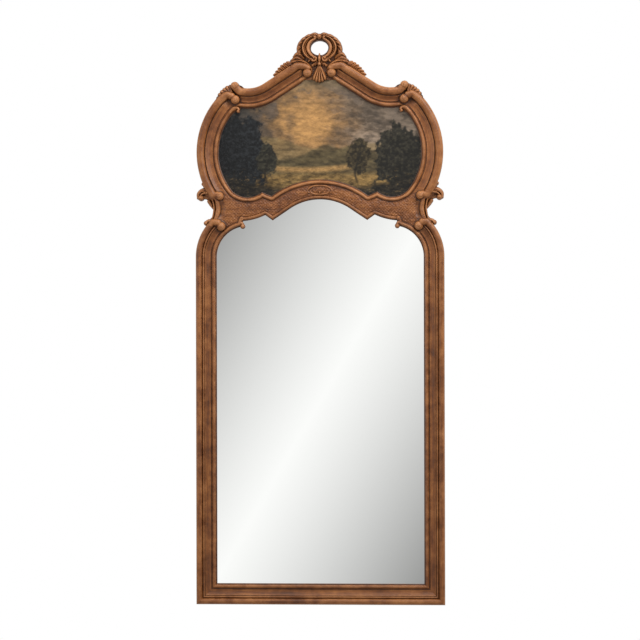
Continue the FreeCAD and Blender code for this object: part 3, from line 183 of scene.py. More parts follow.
def within(x, z, loop):
    """Signed distance to a closed outline, negative inside: even-odd crossings give the sign."""
    ring = np.vstack([loop, loop[:1]])
    dist, _, _ = nearest(x, z, ring)
    flat_x, flat_z = x.ravel(), z.ravel()
    inside = np.zeros(len(flat_x), bool)
    x1, z1 = ring[:-1, 0], ring[:-1, 1]
    x2, z2 = ring[1:, 0], ring[1:, 1]
    slope = (x2 - x1) / np.where(z2 == z1, 1e-9, z2 - z1)
    for start in range(0, len(flat_x), 20000):
        part = slice(start, start + 20000)
        px, pz = flat_x[part, None], flat_z[part, None]
        crosses = ((z1 > pz) != (z2 > pz)) & (px < x1 + (pz - z1) * slope)
        inside[part] = crosses.sum(1) % 2 == 1
    return np.where(inside.reshape(x.shape), -dist, dist)


def blur(field, radius):
    """A Gaussian blur of a grid, by a kernel run along rows and then columns; radius in cells."""
    reach = max(1, int(radius * 3))
    kernel = np.exp(-0.5 * (np.arange(-reach, reach + 1) / radius) ** 2)
    kernel /= kernel.sum()
    for axis in (0, 1):
        padded = np.pad(field, [(reach, reach) if a == axis else (0, 0) for a in (0, 1)], mode="edge")
        field = sum(k * np.take(padded, range(i, i + field.shape[axis]), axis) for i, k in enumerate(kernel))
    return field


# ---------------------------------------------------------------- meshes

def new_piece(name, points, faces, material, replaced, uv, values, sharp):
    """Writes a mesh of the frame body from points (x, depth, z) in millimetres, with point attributes and a
    UV map. Edges sharper than that many degrees are shaded sharp."""
    mesh = bpy.data.meshes.new(name)
    place = np.stack([points[:, 0], -points[:, 1], points[:, 2]], 1) / 1000.0
    mesh.from_pydata(place, [], faces)
    mesh.update()
    for key, value in values.items():
        kind = "FLOAT" if value.ndim == 1 else "FLOAT_COLOR"
        layer = mesh.attributes.new(key, kind, "POINT")
        layer.data.foreach_set("value" if value.ndim == 1 else "color", value.astype(np.float32).ravel())
    layer = mesh.uv_layers.new(name="grain")
    corner = np.empty(len(mesh.loops), np.int32)
    mesh.loops.foreach_get("vertex_index", corner)
    layer.data.foreach_set("uv", uv[corner].astype(np.float32).ravel())
    mesh.shade_smooth()
    mesh.set_sharp_from_angle(angle=math.radians(sharp))
    made = bpy.data.objects.new(name, mesh)
    bpy.context.scene.collection.objects.link(made)
    made.data.materials.append(material)
    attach(made, "frame")
    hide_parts(*replaced)


def grid_faces(rows, columns, close=False):
    """Quads of a grid whose points are stored row by row; close joins the last column to the first."""
    across = columns if close else columns - 1
    r, c = np.meshgrid(np.arange(rows - 1), np.arange(across), indexing="ij")
    right = (c + 1) % columns
    return np.stack([r * columns + c, r * columns + right, (r + 1) * columns + right,
                     (r + 1) * columns + c], -1).reshape(-1, 4)


def relief(name, box, step, field, back, material, replaced, grain=(1.0, 0.0), extra=None, rebate=None):
    """A carving on a grid: field(x, z) gives the front's depth and a signed distance, negative inside.

    Cells whose middle is inside are kept, and the border's points are moved along the distance's slope on to
    the outline, where the field is read again. Walls run from the front's border to the back, whose depth is
    back or else rebate(x, z). Grain is the way of the wood's fibres. Extra(x, z) gives each point a colour.
    """
    x, z = np.meshgrid(np.arange(box[0], box[1] + step, step), np.arange(box[2], box[3] + step, step),
                       indexing="ij")
    top, inside = field(x, z)
    middle = (inside[1:, 1:] + inside[:-1, 1:] + inside[1:, :-1] + inside[:-1, :-1]) / 4
    keep = middle < 0
    slope_x, slope_z = np.gradient(inside, step)
    steep = np.maximum(np.hypot(slope_x, slope_z), 0.3)
    used = np.zeros(x.shape, int)
    for dx in (0, 1):
        for dz in (0, 1):
            used[dx:dx + keep.shape[0], dz:dz + keep.shape[1]] += keep
    border = (used > 0) & (used < 4)
    move = np.clip(np.where(border, inside / steep, 0.0), -step, step)
    x = x - move * slope_x / steep
    z = z - move * slope_z / steep
    top, _ = field(x, z)
    under = np.full(x.shape, float(back)) if rebate is None else rebate(x, z)
    # The front's height over its blurred self: below zero in hollows, above on ridges. The oak paints shade
    # and a highlight from it, along with the wax.
    hollow = np.clip((top - blur(top, 3.0 / step)) / 2.2, -1, 1) * 0.65
    hollow += np.clip((top - blur(top, 7.0 / step)) / 5.0, -1, 1) * 0.35
    number = np.arange(x.size).reshape(x.shape)
    a, b = number[:-1, :-1][keep], number[1:, :-1][keep]
    c, d = number[1:, 1:][keep], number[:-1, 1:][keep]
    count = x.size
    front = np.stack([a, b, c, d], 1)
    rear = np.stack([a, d, c, b], 1) + count
    padded = np.pad(keep, 1)
    walls = []
    for shift, first, second in (((-1, 0), a, d), ((1, 0), c, b), ((0, -1), b, a), ((0, 1), d, c)):
        open_side = ~padded[1 + shift[0]:padded.shape[0] - 1 + shift[0],
                            1 + shift[1]:padded.shape[1] - 1 + shift[1]][keep]
        walls.append(np.stack([first[open_side], second[open_side], second[open_side] + count,
                               first[open_side] + count], 1))
    walls = np.vstack(walls)
    faces = np.vstack([front, rear, walls])
    points = np.vstack([np.stack([x.ravel(), top.ravel(), z.ravel()], 1),
                        np.stack([x.ravel(), under.ravel(), z.ravel()], 1)])
    wanted = np.unique(faces)
    lookup = np.full(len(points), -1)
    lookup[wanted] = np.arange(len(wanted))
    along = (points[:, 0] * grain[0] + points[:, 2] * grain[1]) / 1000
    across = (-points[:, 0] * grain[1] + points[:, 2] * grain[0] + points[:, 1] * 0.6) / 1000
    values = {"hollow": np.concatenate([hollow.ravel(), np.full(count, -0.1)])[wanted]}
    if extra is not None:
        paint = extra(x, z)
        values["paint"] = np.vstack([paint.reshape(-1, 4)] * 2)[wanted]
    new_piece(name, points[wanted], lookup[faces], material, replaced, np.stack([along, across], 1)[wanted],
              values, 50.0)


# ---------------------------------------------------------------- carved features

class Carving:
    """Collects features on one grid: the highest depth wins, and the outline is the union of them all."""

    def __init__(self, x, z, ground=None, outline=None):
        self.x, self.z = x, z
        self.top = np.full(x.shape, -50.0) if ground is None else ground
        self.inside = np.full(x.shape, 1e3) if outline is None else outline

    def lay(self, near, inside, depth, soft):
        """Joins a feature where near picks the grid, by a smooth maximum of the depths."""
        top = self.top[near]
        gap = np.clip(0.5 + 0.5 * (depth - top) / soft, 0, 1)
        self.top[near] = top * (1 - gap) + depth * gap + soft * gap * (1 - gap)
        self.inside[near] = np.minimum(self.inside[near], inside)

    def add(self, inside, depth):
        """Joins a feature given on the whole grid; outside its outline it falls away steeply."""
        self.lay(..., inside, np.where(inside < 0, depth, depth - 4.0 * inside), 0.8)

    def stem(self, points, widths, foot, rises, style="round", count=26):
        """A stem along a smooth curve, whose half width and rise vary along it.

        Styles of section: round, leaf (a ridge in a shallow trough with lifted edges) and band (a wide round
        rib with a narrow one beside it, on the left of the way).
        """
        line = flowing(points, count)
        reach = max(widths) + 3.0
        low, high = line.min(0) - reach, line.max(0) + reach
        near = (self.x > low[0]) & (self.x < high[0]) & (self.z > low[1]) & (self.z < high[1])
        if not near.any():
            return
        dist, share, side = nearest(self.x[near], self.z[near], line)
        spread = np.linspace(0, 1, len(widths))
        wide = np.interp(share, spread, widths)
        rise = np.interp(share, np.linspace(0, 1, len(rises)), rises)
        q = np.clip(dist / wide, 0, 1)
        if style == "leaf":
            form = 0.62 * (1 - q ** 3) + 0.3 * np.exp(-(dist / 1.1) ** 2) + 0.22 * q * (1 - q ** 6)
        elif style == "band":
            s = side * q
            form = np.maximum(np.sqrt(np.clip(1 - ((s - 0.72) / 0.28) ** 2, 0, 1)) * 0.86,
                              np.sqrt(np.clip(1 - ((s + 0.28) / 0.72) ** 2, 0, 1)))
        else:
            form = np.sqrt(np.clip(1 - q * q, 0, 1))
        depth = np.where(dist < wide, foot + rise * form, foot - 4.0 * (dist - wide))
        self.lay(near, dist - wide, depth, 0.7)

    def knob(self, centre, radius, foot, rise, ring=0.0):
        """A round knob, with a turned groove at the given share of its radius."""
        dist = np.hypot(self.x - centre[0], self.z - centre[1])
        q = np.clip(dist / radius, 0, 1)
        form = np.sqrt(np.clip(1 - q ** 2.4, 0, 1))
        if ring:
            form = form - 0.2 * np.exp(-((q - ring) / 0.1) ** 2)
        self.add(dist - radius, foot + rise * form)

    def curl(self, centre, radius, start, turns, width, foot, rise, hand=1):
        """A volute: the radius shrinks evenly to a fifth as the stem winds inwards, and a knob is its eye."""
        t = np.linspace(0, 1, int(14 * abs(turns) + 8))
        r = radius * (1 - 0.78 * t)
        points = polar(centre, r, start + hand * 360 * turns * t)
        self.stem(points, [width, width * 0.85, width * 0.6], foot, [rise, rise * 1.05, rise * 1.15],
                  "round", count=len(t) * 2)
        self.knob(centre, radius * 0.36, foot, rise * 1.3)

    def scroll_end(self, centre, radius, foot, rise, start=0.0, hand=1):
        """A roll's end, turned in on itself: a dome with a shallow spiral groove of two turns."""
        dx, dz = self.x - centre[0], self.z - centre[1]
        dist = np.hypot(dx, dz)
        q = np.clip(dist / radius, 0, 1)
        turn = (np.degrees(np.arctan2(dz, dx)) - start) * hand % 360 / 360
        groove = np.zeros(self.x.shape)
        for whole in (0, 1):
            line = radius * (0.97 - 0.36 * (turn + whole))
            groove = np.maximum(groove, np.exp(-((dist - line) / (0.075 * radius)) ** 2))
        form = np.sqrt(np.clip(1 - q ** 2.3, 0, 1))
        self.add(dist - radius, foot + rise * form - 0.07 * rise * groove * step_between(0, 0.25, 1.12 - q))

    def leaf(self, root, tip, bend, width, foot, rise, lobes=3, spread=44.0):
        """A full acanthus leaf: fat rounded lobes overlap along a bent midrib and shorten towards the tip."""
        root, tip = np.asarray(root, float), np.asarray(tip, float)
        way = tip - root
        middle = (root + tip) / 2 + np.array([-way[1], way[0]]) * bend
        spine = flowing([root, middle, tip], 30)
        heading = np.gradient(spine, axis=0)
        for number in range(lobes):
            share = 0.08 + 0.64 * number / max(1, lobes - 1)
            at = int(share * 29)
            forward = heading[at] / np.hypot(*heading[at])
            for side in (1, -1):
                turn = math.radians(spread * (1 - 0.3 * share)) * side
                out = np.array([forward[0] * math.cos(turn) - forward[1] * math.sin(turn),
                                forward[0] * math.sin(turn) + forward[1] * math.cos(turn)])
                reach = width * (0.95 - 0.35 * share)
                self.stem([spine[at], spine[at] + out * reach], [reach * 0.34, reach * 0.5, reach * 0.26],
                          foot, [rise * 0.7, rise, rise * 0.55], "leaf", count=8)
        self.stem([root, middle, tip], [width * 0.36, width * 0.56, width * 0.26], foot,
                  [rise * 0.95, rise * 1.15, rise * 0.7], "leaf", count=24)

    def shell(self, hub, reach, first, last, lobes, foot, rise):
        """A scallop shell: ribs fan out from the hub, and its rim bulges at each rib's end."""
        dx, dz = self.x - hub[0], self.z - hub[1]
        r = np.hypot(dx, dz)
        middle = math.radians((first + last) / 2)
        angle = np.arctan2(dz, dx) - middle
        angle = (angle + np.pi) % (2 * np.pi) - np.pi
        half = math.radians(abs(last - first) / 2)
        beat = np.abs(np.cos((angle / half) * lobes * np.pi / 2 + (0 if lobes % 2 else np.pi / 2)))
        rim = reach * (0.9 + 0.1 * np.sqrt(beat)) * (1 - 0.12 * (angle / half) ** 2)
        inside = np.maximum(r - rim, r * np.sin(np.clip(np.abs(angle) - half, -1.5, 1.5)))
        q = np.clip(r / rim, 0, 1)
        form = (0.35 + 0.65 * beat ** 0.6) * (0.45 + 0.55 * q) * np.sqrt(np.clip(1 - q ** 6, 0, 1))
        self.add(inside, foot + rise * form)


def tooled(x, z, seed):
    """The carver's touch: low waves of the surface, a few tenths of a millimetre deep."""
    return 0.22 * rough(x / 14, z / 14, seed, 3) + 0.1 * rough(x / 3.5, z / 3.5, seed + 5, 2)


# ---------------------------------------------------------------- moulding

def section_depth(outwards, width):
    """Front depth of the section, from the sight edge out: a sunk edge, a bead, a groove, a hollow, a quirk
    and the roll. The lower frame's narrower roll has a fillet beside it."""
    n = np.asarray(outwards, float)
    filleted = width == WIDTH
    roll = width - (19.5 if filleted else 24.5)
    hollow_end = roll - (9.2 if filleted else 3.0)
    bead = 27.4 + 7.2 * np.sqrt(np.clip(1 - ((n - 9.3) / 5.7) ** 2, 0, 1))
    share = np.clip((n - 18.6) / (hollow_end - 18.6), 0, 1)
    depth = np.where(n < 3.6, 25.2 + 0.5 * n, bead)
    depth = np.where(n > 14.6, 28.2, depth)
    depth = np.where(n > 18.6, 31.2 + 7.6 * share ** 1.5 - 1.5 * np.sin(np.pi * share), depth)
    depth = np.where(n > hollow_end, 35.0, depth)
    if filleted:
        fillet = 37.0 + 3.4 * np.sqrt(np.clip(1 - ((n - roll + 4.3) / 3.2) ** 2, 0, 1))
        depth = np.where(np.abs(n - roll + 4.3) < 3.2, fillet, depth)
    half = (width - roll) / 2
    round_top = np.sqrt(np.clip(1 - ((n - roll - half) / (half + 0.1)) ** 2, 0, 1))
    return np.where(n > roll, 35.5 + 12.0 * round_top, depth)


def soft_depth(outwards, width):
    """The section's depth rounded over 0.7 mm, for where it is drawn on a carving's grid."""
    fine = np.arange(-4, width + 4, 0.2)
    weight = np.exp(-0.5 * (np.arange(-12, 13) * 0.2 / 0.7) ** 2)
    level = np.convolve(section_depth(np.clip(fine, 0, width), width), weight / weight.sum(), "same")
    return np.interp(np.clip(outwards, 0, width), fine, level)


BACK_POINTS, POCKET_POINTS = 11, np.array([3, 4])  # points of the section's back, and those at the hanger


def section_loop(width):
    """The whole closed section as (outwards, depth), finer over the front, with its smoothed hollow value,
    from which the oak paints shade in the hollows and a highlight on the ridges.
    """
    n = np.linspace(0, width, int(width / 0.8) + 1)
    d = section_depth(n, width)
    fine = np.linspace(-12, width + 12, 900)
    level = section_depth(np.clip(fine, 0, width), width)
    # Outside the sight edge the level is set above the edge, so the sunk sight edge reads as a hollow and
    # gets painted shade. Outside the outer edge it is set below, so the roll's edge reads as a ridge and gets
    # a painted highlight.
    level = np.where(fine < 0, 30.0, np.where(fine > width, 26.0, level))
    hollow = np.zeros(len(n))
    for spread, span, share in ((3.4, 3.6, 0.55), (1.4, 1.9, 0.45)):
        weight = np.exp(-0.5 * ((np.arange(-90, 91) * (fine[1] - fine[0])) / spread) ** 2)
        mean = np.convolve(level, weight / weight.sum(), "same")
        hollow += share * np.clip(np.interp(n, fine, level - mean) / span, -1, 1)
    back = np.array([(width, 18), (width, 0), (60.2, 0), (60, 0), (31.2, 0), (31, 0), (BOARD_EDGE, 0),
                     (BOARD_EDGE, BOARD_FLOOR), (REBATE, BOARD_FLOOR), (REBATE, LIP), (0, LIP)], float)
    return (np.concatenate([n, back[:, 0]]), np.concatenate([d, back[:, 1]]),
            np.concatenate([hollow, np.full(len(back), -0.05)]))


def moulding(name, base, way, width, material, replaced, seed, pocket=None, mirrored=False):
    """Carries the section along the sight line: point = base + way x outwards, with the depth forwards.

    Low waves along and across the wood move the front a little. Pocket lists the rows whose back strip lies
    deeper, for the hanger. The sign of the enclosed volume decides which way round the faces go.
    """
    n, d, hollow = section_loop(width)
    rows = len(base)
    step = np.hypot(*np.diff(base + way * width * 0.5, axis=0).T)
    along = np.concatenate([[0], np.cumsum(step)])
    run = np.concatenate([[0], np.cumsum(np.hypot(np.diff(n), np.diff(d)))])
    s, t = np.meshgrid(along, run, indexing="ij")
    across = np.broadcast_to(n, (rows, len(n)))
    depth = np.broadcast_to(d, (rows, len(n))).copy()
    front = np.arange(len(n)) < len(n) - BACK_POINTS
    touch = 0.3 * rough(s / 45, t / 9, seed, 3) + 0.12 * rough(s / 9, t / 4, seed + 9, 2)
    depth[:, front] += touch[:, front]
    sway = 0.35 * rough(s / 60, t / 40, seed + 3, 2) * np.where(front, 1.0, 0.0)
    sway *= np.where((across > 0.5) & (across < width - 0.5), 1.0, 0.0)
    if pocket is not None:
        depth[np.ix_(pocket, len(n) - BACK_POINTS + POCKET_POINTS)] = HANGER_DEPTH
    x = base[:, :1] + way[:, :1] * (across + sway)
    z = base[:, 1:] + way[:, 1:] * (across + sway)
    if mirrored:
        x = -x
    faces = grid_faces(rows, len(n), close=True)
    points = np.stack([x.ravel(), depth.ravel(), z.ravel()], 1)
    ends = [np.arange(len(n))[::-1], np.arange(len(n)) + (rows - 1) * len(n)]
    corner = points[faces]
    volume = sum((np.cross(corner[:, 0], corner[:, k]) * corner[:, k + 1]).sum() for k in (1, 2))
    volume += sum((np.cross(points[end[0]], points[end[1:-1]]) * points[end[2:]]).sum() for end in ends)
    if volume > 0:
        faces = faces[:, ::-1]
        ends = [end[::-1] for end in ends]
    # Each point's hollow value, from which the oak paints shade in hollows and a highlight on ridges, along
    # with the wax's wear.
    shade_and_wear = np.broadcast_to(hollow, (rows, len(n))).ravel()
    new_piece(name, points, [list(f) for f in faces] + [list(end) for end in ends], material, replaced,
              np.stack([s.ravel(), t.ravel()], 1) / 1000, {"hollow": shade_and_wear}, 42.0)


def sight_line(kind, stations):
    """Sight-edge points and outward directions of a moulding, on the right-hand side."""
    if kind == "stile":
        mitre = np.linspace(1, 0, 18)
        foot = np.repeat([[SIGHT_X, WIDTH]], 18, 0)
        foot_way = np.stack([np.ones(18), -mitre], 1)
        rise = np.linspace(WIDTH, SHOULDER_Z, stations)[1:-1]
        rise = np.sort(np.concatenate([rise, HANGER_Z + HANGER_HALF * np.array([-1, 1]),
                                       HANGER_Z + (HANGER_HALF - 0.2) * np.array([-1, 1])]))
        side = np.stack([np.full(len(rise), SIGHT_X), rise], 1)
        side_way = np.repeat([[1.0, 0.0]], len(rise), 0)
        turn = np.linspace(0, SHOULDER_END, 60)
        bend = polar(SHOULDER, SHOULDER_R, turn)
        return np.vstack([foot, side, bend]), np.vstack([foot_way, side_way, polar((0, 0), 1.0, turn)])
    if kind == "head_side":
        turn = np.linspace(HEAD_LOW, HEAD_TOP, stations)
        return polar(HEAD, HEAD_R, turn), polar((0, 0), 1.0, turn)
    turn = np.linspace(DIP_OUT, -SLOPE, stations)
    slope = np.radians(turn)
    dip = dip_point(DIP_R, turn)
    dip_way = np.stack([-np.sin(slope), np.cos(slope)], 1)
    along = np.linspace(0, RUN, 60)[1:]
    straight = run_point(0, along[:, None])
    return np.vstack([dip, straight]), np.vstack([dip_way, np.repeat(dip_way[-1:], len(straight), 0)])


def build_mouldings():
    """Stiles, bottom rail, head sides and head tops."""
    oak = bpy.data.materials["waxed_oak"]
    for hand in ("right", "left"):
        mirrored = hand == "left"
        seed = 40 if mirrored else 10
        base, way = sight_line("stile", 460)
        rows = np.flatnonzero((np.abs(base[:, 1] - HANGER_Z) <= HANGER_HALF + 1e-6) & (way[:, 1] == 0))
        moulding(f"{hand}_stile_carved", base, way, WIDTH, oak, [f"{hand}_stile"], seed, rows[1:-1], mirrored)
        for offset, kind, stations, width in ((1, "head_side", 170, HEAD_WIDTH),
                                              (2, "head_top", 110, DIP_WIDTH)):
            base, way = sight_line(kind, stations)
            moulding(f"{hand}_{kind}_carved", base, way, width, oak, [f"{hand}_{kind}"], seed + offset,
                     mirrored=mirrored)
    mitre = np.linspace(1, 0, 18)
    level = np.linspace(SIGHT_X, -SIGHT_X, 300)[1:-1]
    base = np.vstack([np.repeat([[SIGHT_X, WIDTH]], 18, 0), np.stack([level, np.full(298, WIDTH)], 1),
                      np.repeat([[-SIGHT_X, WIDTH]], 18, 0)])
    way = np.stack([np.concatenate([mitre, np.zeros(298), -mitre[::-1]]), -np.ones(len(base))], 1)
    moulding("bottom_rail_carved", base, way, WIDTH, oak, ["bottom_rail"], 77)


# ---------------------------------------------------------------- carved pieces

def bow(start, end, rise, count=24):
    """Points of the arc from start to end whose middle stands rise to the left of the way."""
    start, end = np.asarray(start, float), np.asarray(end, float)
    chord = end - start
    length = np.hypot(*chord)
    left = np.array([-chord[1], chord[0]]) / length
    radius = (length ** 2 / 4 + rise ** 2) / (2 * abs(rise))
    centre = (start + end) / 2 + left * (rise - math.copysign(radius, rise))
    first = math.atan2(*(start - centre)[::-1])
    last = math.atan2(*(end - centre)[::-1])
    turn = (last - first + math.pi) % (2 * math.pi) - math.pi
    angle = first + turn * np.linspace(0, 1, count)
    return centre + radius * np.stack([np.cos(angle), np.sin(angle)], 1)


CUSP = np.array([149.0, SHOULDER_Z + 115.0])
UPPER_CUSP = np.array([152.0, CUSP[1] + 77.0])
UPPER_PEAK = UPPER_CUSP + [30.0, 12.5]
LOWER_PEAK = np.array([172.5, SHOULDER_Z + 132.0])
SHELF = np.array([242.0, SHOULDER_Z + 113.5])
FLANK = np.array([101.0, SHOULDER_Z + 147.0])


def rail_lines():
    """The right half of the middle rail's upper sight edge, waist and lower sight edge."""
    arch = bow(UPPER_CUSP * [-1, 1], UPPER_CUSP, 51.5, 60)
    lobe = polar(HEAD, HEAD_R, np.linspace(-40, HEAD_LOW, 12))
    upper = np.vstack([arch[30:], UPPER_PEAK, bow(UPPER_PEAK, lobe[0], -17.0)[1:], lobe[1:]])
    waist = bow(polar(HEAD, HEAD_R + HEAD_WIDTH, HEAD_LOW),
                polar(SHOULDER, SHOULDER_R + WIDTH, SHOULDER_END), -31.0)
    shoulder = polar(SHOULDER, SHOULDER_R, np.linspace(SHOULDER_END, 79, 20))
    low_arch = bow(FLANK, FLANK * [-1, 1], -33.5, 60)
    lower = np.vstack([shoulder, SHELF, bow(SHELF, LOWER_PEAK, 3.5, 12)[1:], CUSP, low_arch[:31]])
    return upper, waist, lower


def beside_joints(x, z):
    """Signed distances, negative inside, of the head's side moulding and of the stile with its shoulder."""
    low, end = math.radians(HEAD_LOW), math.radians(SHOULDER_END)
    below = (x - HEAD[0]) * math.sin(low) - (z - HEAD_Z) * math.cos(low)
    above = (z - SHOULDER_Z) * math.cos(end) - (x - SHOULDER[0]) * math.sin(end)
    head = np.maximum(np.hypot(x - HEAD[0], z - HEAD_Z) - (HEAD_R + HEAD_WIDTH), below)
    stile = np.maximum(np.hypot(x - SHOULDER[0], z - SHOULDER_Z) - (SHOULDER_R + WIDTH), above)
    return head, stile


def middle_rail_field(x, z):
    """The rail's chequered ground between moulded rims, the mouldings' ends fading into it, a hollow beside
    each waist scroll, the bosses where the rolls end, hooked curls at the shoulders and an oval cartouche."""
    upper, waist, lower = rail_lines()
    fold = np.abs(x)
    loop = np.vstack([upper, waist, lower])
    outline = within(x, z, np.vstack([loop, loop[::-1] * [-1, 1]]))
    from_up, _, _ = nearest(fold, z, upper)
    from_low, _, _ = nearest(fold, z, lower)
    from_waist, _, _ = nearest(fold, z, waist)
    lattice = np.abs(np.sin(np.pi * (x + z) / 9.6) * np.sin(np.pi * (x - z) / 9.6))
    chequer = 1.1 * lattice + 1.5 * rough(x / 4.0, z / 4.0, 3, 3)
    ground = GROUND - 1.2 + 1.8 * step_between(14, 34, np.minimum(from_up, from_low))
    ground = ground + chequer * step_between(19, 22, from_up) * step_between(12, 15, from_low)
    beside = step_between(1206, 1226, z) * step_between(1288, 1268, z) * step_between(27, 17, from_waist)
    slope = 27.5 + 10.5 * np.sqrt(np.clip(1 - (from_waist / 9.5) ** 2, 0, 1))
    ground = ground * (1 - beside) + slope * beside
    out = np.hypot(fold - HEAD[0], z - HEAD_Z) - HEAD_R
    turn = np.degrees(np.arctan2(z - HEAD_Z, fold - HEAD[0]))
    share = step_between(-44, HEAD_LOW, turn) * ((out > 18.6) & (fold > HEAD[0]))
    ground = ground * (1 - share) + soft_depth(out, HEAD_WIDTH) * share
    ground = np.where(from_up < 18.8, soft_depth(from_up, HEAD_WIDTH), ground)
    out = np.hypot(fold - SHOULDER[0], z - SHOULDER_Z) - SHOULDER_R
    turn = np.degrees(np.arctan2(z - SHOULDER_Z, fold - SHOULDER[0]))
    share = step_between(60, SHOULDER_END, turn) * ((out > 18.6) & (fold > SHOULDER[0]))
    ground = ground * (1 - share) + soft_depth(out, WIDTH) * share
    rim = np.where(from_low < 3.6, 25.6 + 0.5 * from_low,
                   27.4 + 3.6 * np.sqrt(np.clip(1 - ((from_low - 7.6) / 4.2) ** 2, 0, 1)))
    ground = np.where((from_low < 12.6) & (fold < 246), rim, ground)
    ground = np.where((from_low < 18.8) & (fold >= 246), soft_depth(from_low, WIDTH), ground)
    carving = Carving(fold, z, ground, outline)
    roll = polar(HEAD, HEAD_R + HEAD_WIDTH - 12.3, np.array([HEAD_LOW - 0.2, -33.0]))
    carving.stem(np.vstack([roll, [322.0, 1287.5]]), [12.2, 12.3, 11.5], 35.5, [12.0, 12.5, 12.5])
    carving.scroll_end((316.5, 1284.5), 14.0, 31.0, 19.5, 60.0, -1)
    roll = polar(SHOULDER, SHOULDER_R + WIDTH - 9.8, np.array([SHOULDER_END + 0.2, 45.0]))
    carving.stem(np.vstack([roll, [322.0, 1200.0]]), [9.8, 11.5, 12.0], 35.5, [12.0, 12.5, 12.5])
    carving.scroll_end((311.5, 1189.5), 14.5, 31.0, 19.5, -20.0, 1)
    bead = polar(SHOULDER, SHOULDER_R + 9.3, np.array([66.0, 71.0, 76.0]))
    carving.stem(np.vstack([bead, [247.5, 1200.0], [243.5, 1195.0]]), [5.6, 5.6, 5.4, 5.4, 5.0], 27.4,
                 [7.2, 7.4, 7.8, 8.0, 8.0])
    carving.scroll_end((243.5, 1189.5), 7.8, 26.0, 11.5, 30.0, 1)
    carving.curl((248.0, 1215.0), 6.6, -70.0, 0.8, 2.6, 29.0, 5.0, hand=-1)
    carving.stem([(0, 1317.0), (18, 1315.5), (33, 1308.5), (39, 1299.0), (33, 1293.5)],
                 [2.2, 2.5, 2.6, 2.4, 1.8], 29.5, [3.2, 3.8, 3.8, 3.6, 2.8])
    carving.stem([(0, 1289.5), (16, 1290.5), (27, 1294.5), (29, 1301.0), (23, 1303.0)],
                 [2.0, 2.4, 2.4, 2.2, 1.6], 29.5, [3.0, 3.6, 3.6, 3.4, 2.6])
    carving.shell((0, 1296.0), 15.5, 20, 160, 7, 30.0, 3.8)
    carving.knob((0, 1296.0), 3.0, 30.5, 4.0)
    carving.leaf((38, 1297), (62, 1287), -0.12, 8.0, 29.0, 2.6, lobes=2)
    head, stile = beside_joints(fold, z)
    return carving.top + tooled(x, z, 21), np.maximum(carving.inside, np.maximum(-head, -stile))


def corner_field(x, z):
    """The corner block: both rolls end in turned-in knobs, a shell fans out behind them, and the sight bead
    ends in a hooked curl."""
    side_low, side_high = polar(HEAD, HEAD_R, HEAD_TOP), polar(HEAD, HEAD_R + HEAD_WIDTH, HEAD_TOP)
    top_low, top_high = dip_point(DIP_R, DIP_OUT), dip_point(DIP_R - DIP_WIDTH, DIP_OUT)
    hub = np.array([279.0, HEAD_Z + 173.0])
    loop = np.vstack([side_low, top_low, top_high, bow(top_high, hub + [0, 36], 8.0), hub + [14, 34],
                      hub + [28, 22], hub + [36, 4], side_high])
    outline = within(x, z, loop)
    ground = np.full(x.shape, GROUND - 2.0)
    edge = np.vstack([side_low, top_low])
    from_edge, _, _ = nearest(x, z, edge)
    ground = np.where(from_edge < 18.6, soft_depth(from_edge, DIP_WIDTH), ground)
    out = np.hypot(x - HEAD[0], z - HEAD_Z) - HEAD_R
    turn = np.degrees(np.arctan2(z - HEAD_Z, x - HEAD[0]))
    share = step_between(HEAD_TOP + 6.5, HEAD_TOP, turn)
    ground = ground * (1 - share) + soft_depth(out, HEAD_WIDTH) * share
    out = DIP_R - np.hypot(x - DIP[0], z - DIP[1])
    turn = np.degrees(np.arctan2(x - DIP[0], DIP[1] - z))
    share = step_between(DIP_OUT + 12, DIP_OUT, turn) * (out > -1)
    ground = ground * (1 - share) + soft_depth(out, DIP_WIDTH) * share
    carving = Carving(x, z, ground, outline)
    for angle, reach in ((86, 41.5), (68, 40.5), (50, 39.5), (32, 41.0), (14, 43.5), (-3, 46.5)):
        tip = polar(hub, reach - 7.5, angle)
        carving.stem([hub + [-4, -2], polar(hub, reach * 0.55, angle + 3), tip], [4.2, 6.2, 7.4], 26.0,
                     [9.0, 14.0, 14.0], "round", count=12)
    roll = dip_point(DIP_R - DIP_WIDTH + 12.3, np.array([DIP_OUT, DIP_OUT + 6]))
    carving.stem(np.vstack([roll, [262.0, 1624.0]]), [12.2, 12.2, 11.8], 35.5, [12.0, 12.5, 13.0])
    carving.scroll_end((267.0, 1631.0), 13.8, 33.0, 19.5, -100.0, 1)
    roll = polar(HEAD, HEAD_R + HEAD_WIDTH - 12.3, np.array([HEAD_TOP, HEAD_TOP + 3.0]))
    carving.stem(np.vstack([roll, [292.0, 1602.5], [277.0, 1599.5]]), [12.2, 12.2, 11.8, 11.0], 35.5,
                 [12.0, 12.5, 13, 13])
    carving.scroll_end((265.5, 1588.5), 14.0, 33.0, 19.5, 40.0, 1)
    bead = polar(HEAD, HEAD_R + 9.3, np.array([HEAD_TOP, HEAD_TOP + 2.5]))
    carving.stem(np.vstack([bead, [270.0, 1562.0], [259.5, 1562.5], [255.0, 1556.5]]),
                 [5.7, 5.5, 5.2, 4.8, 4.4], 27.4, [7.2, 7.5, 8, 8, 8])
    carving.knob((257.0, 1552.0), 5.4, 26.0, 10.0)
    return carving.top + tooled(x, z, 31), carving.inside


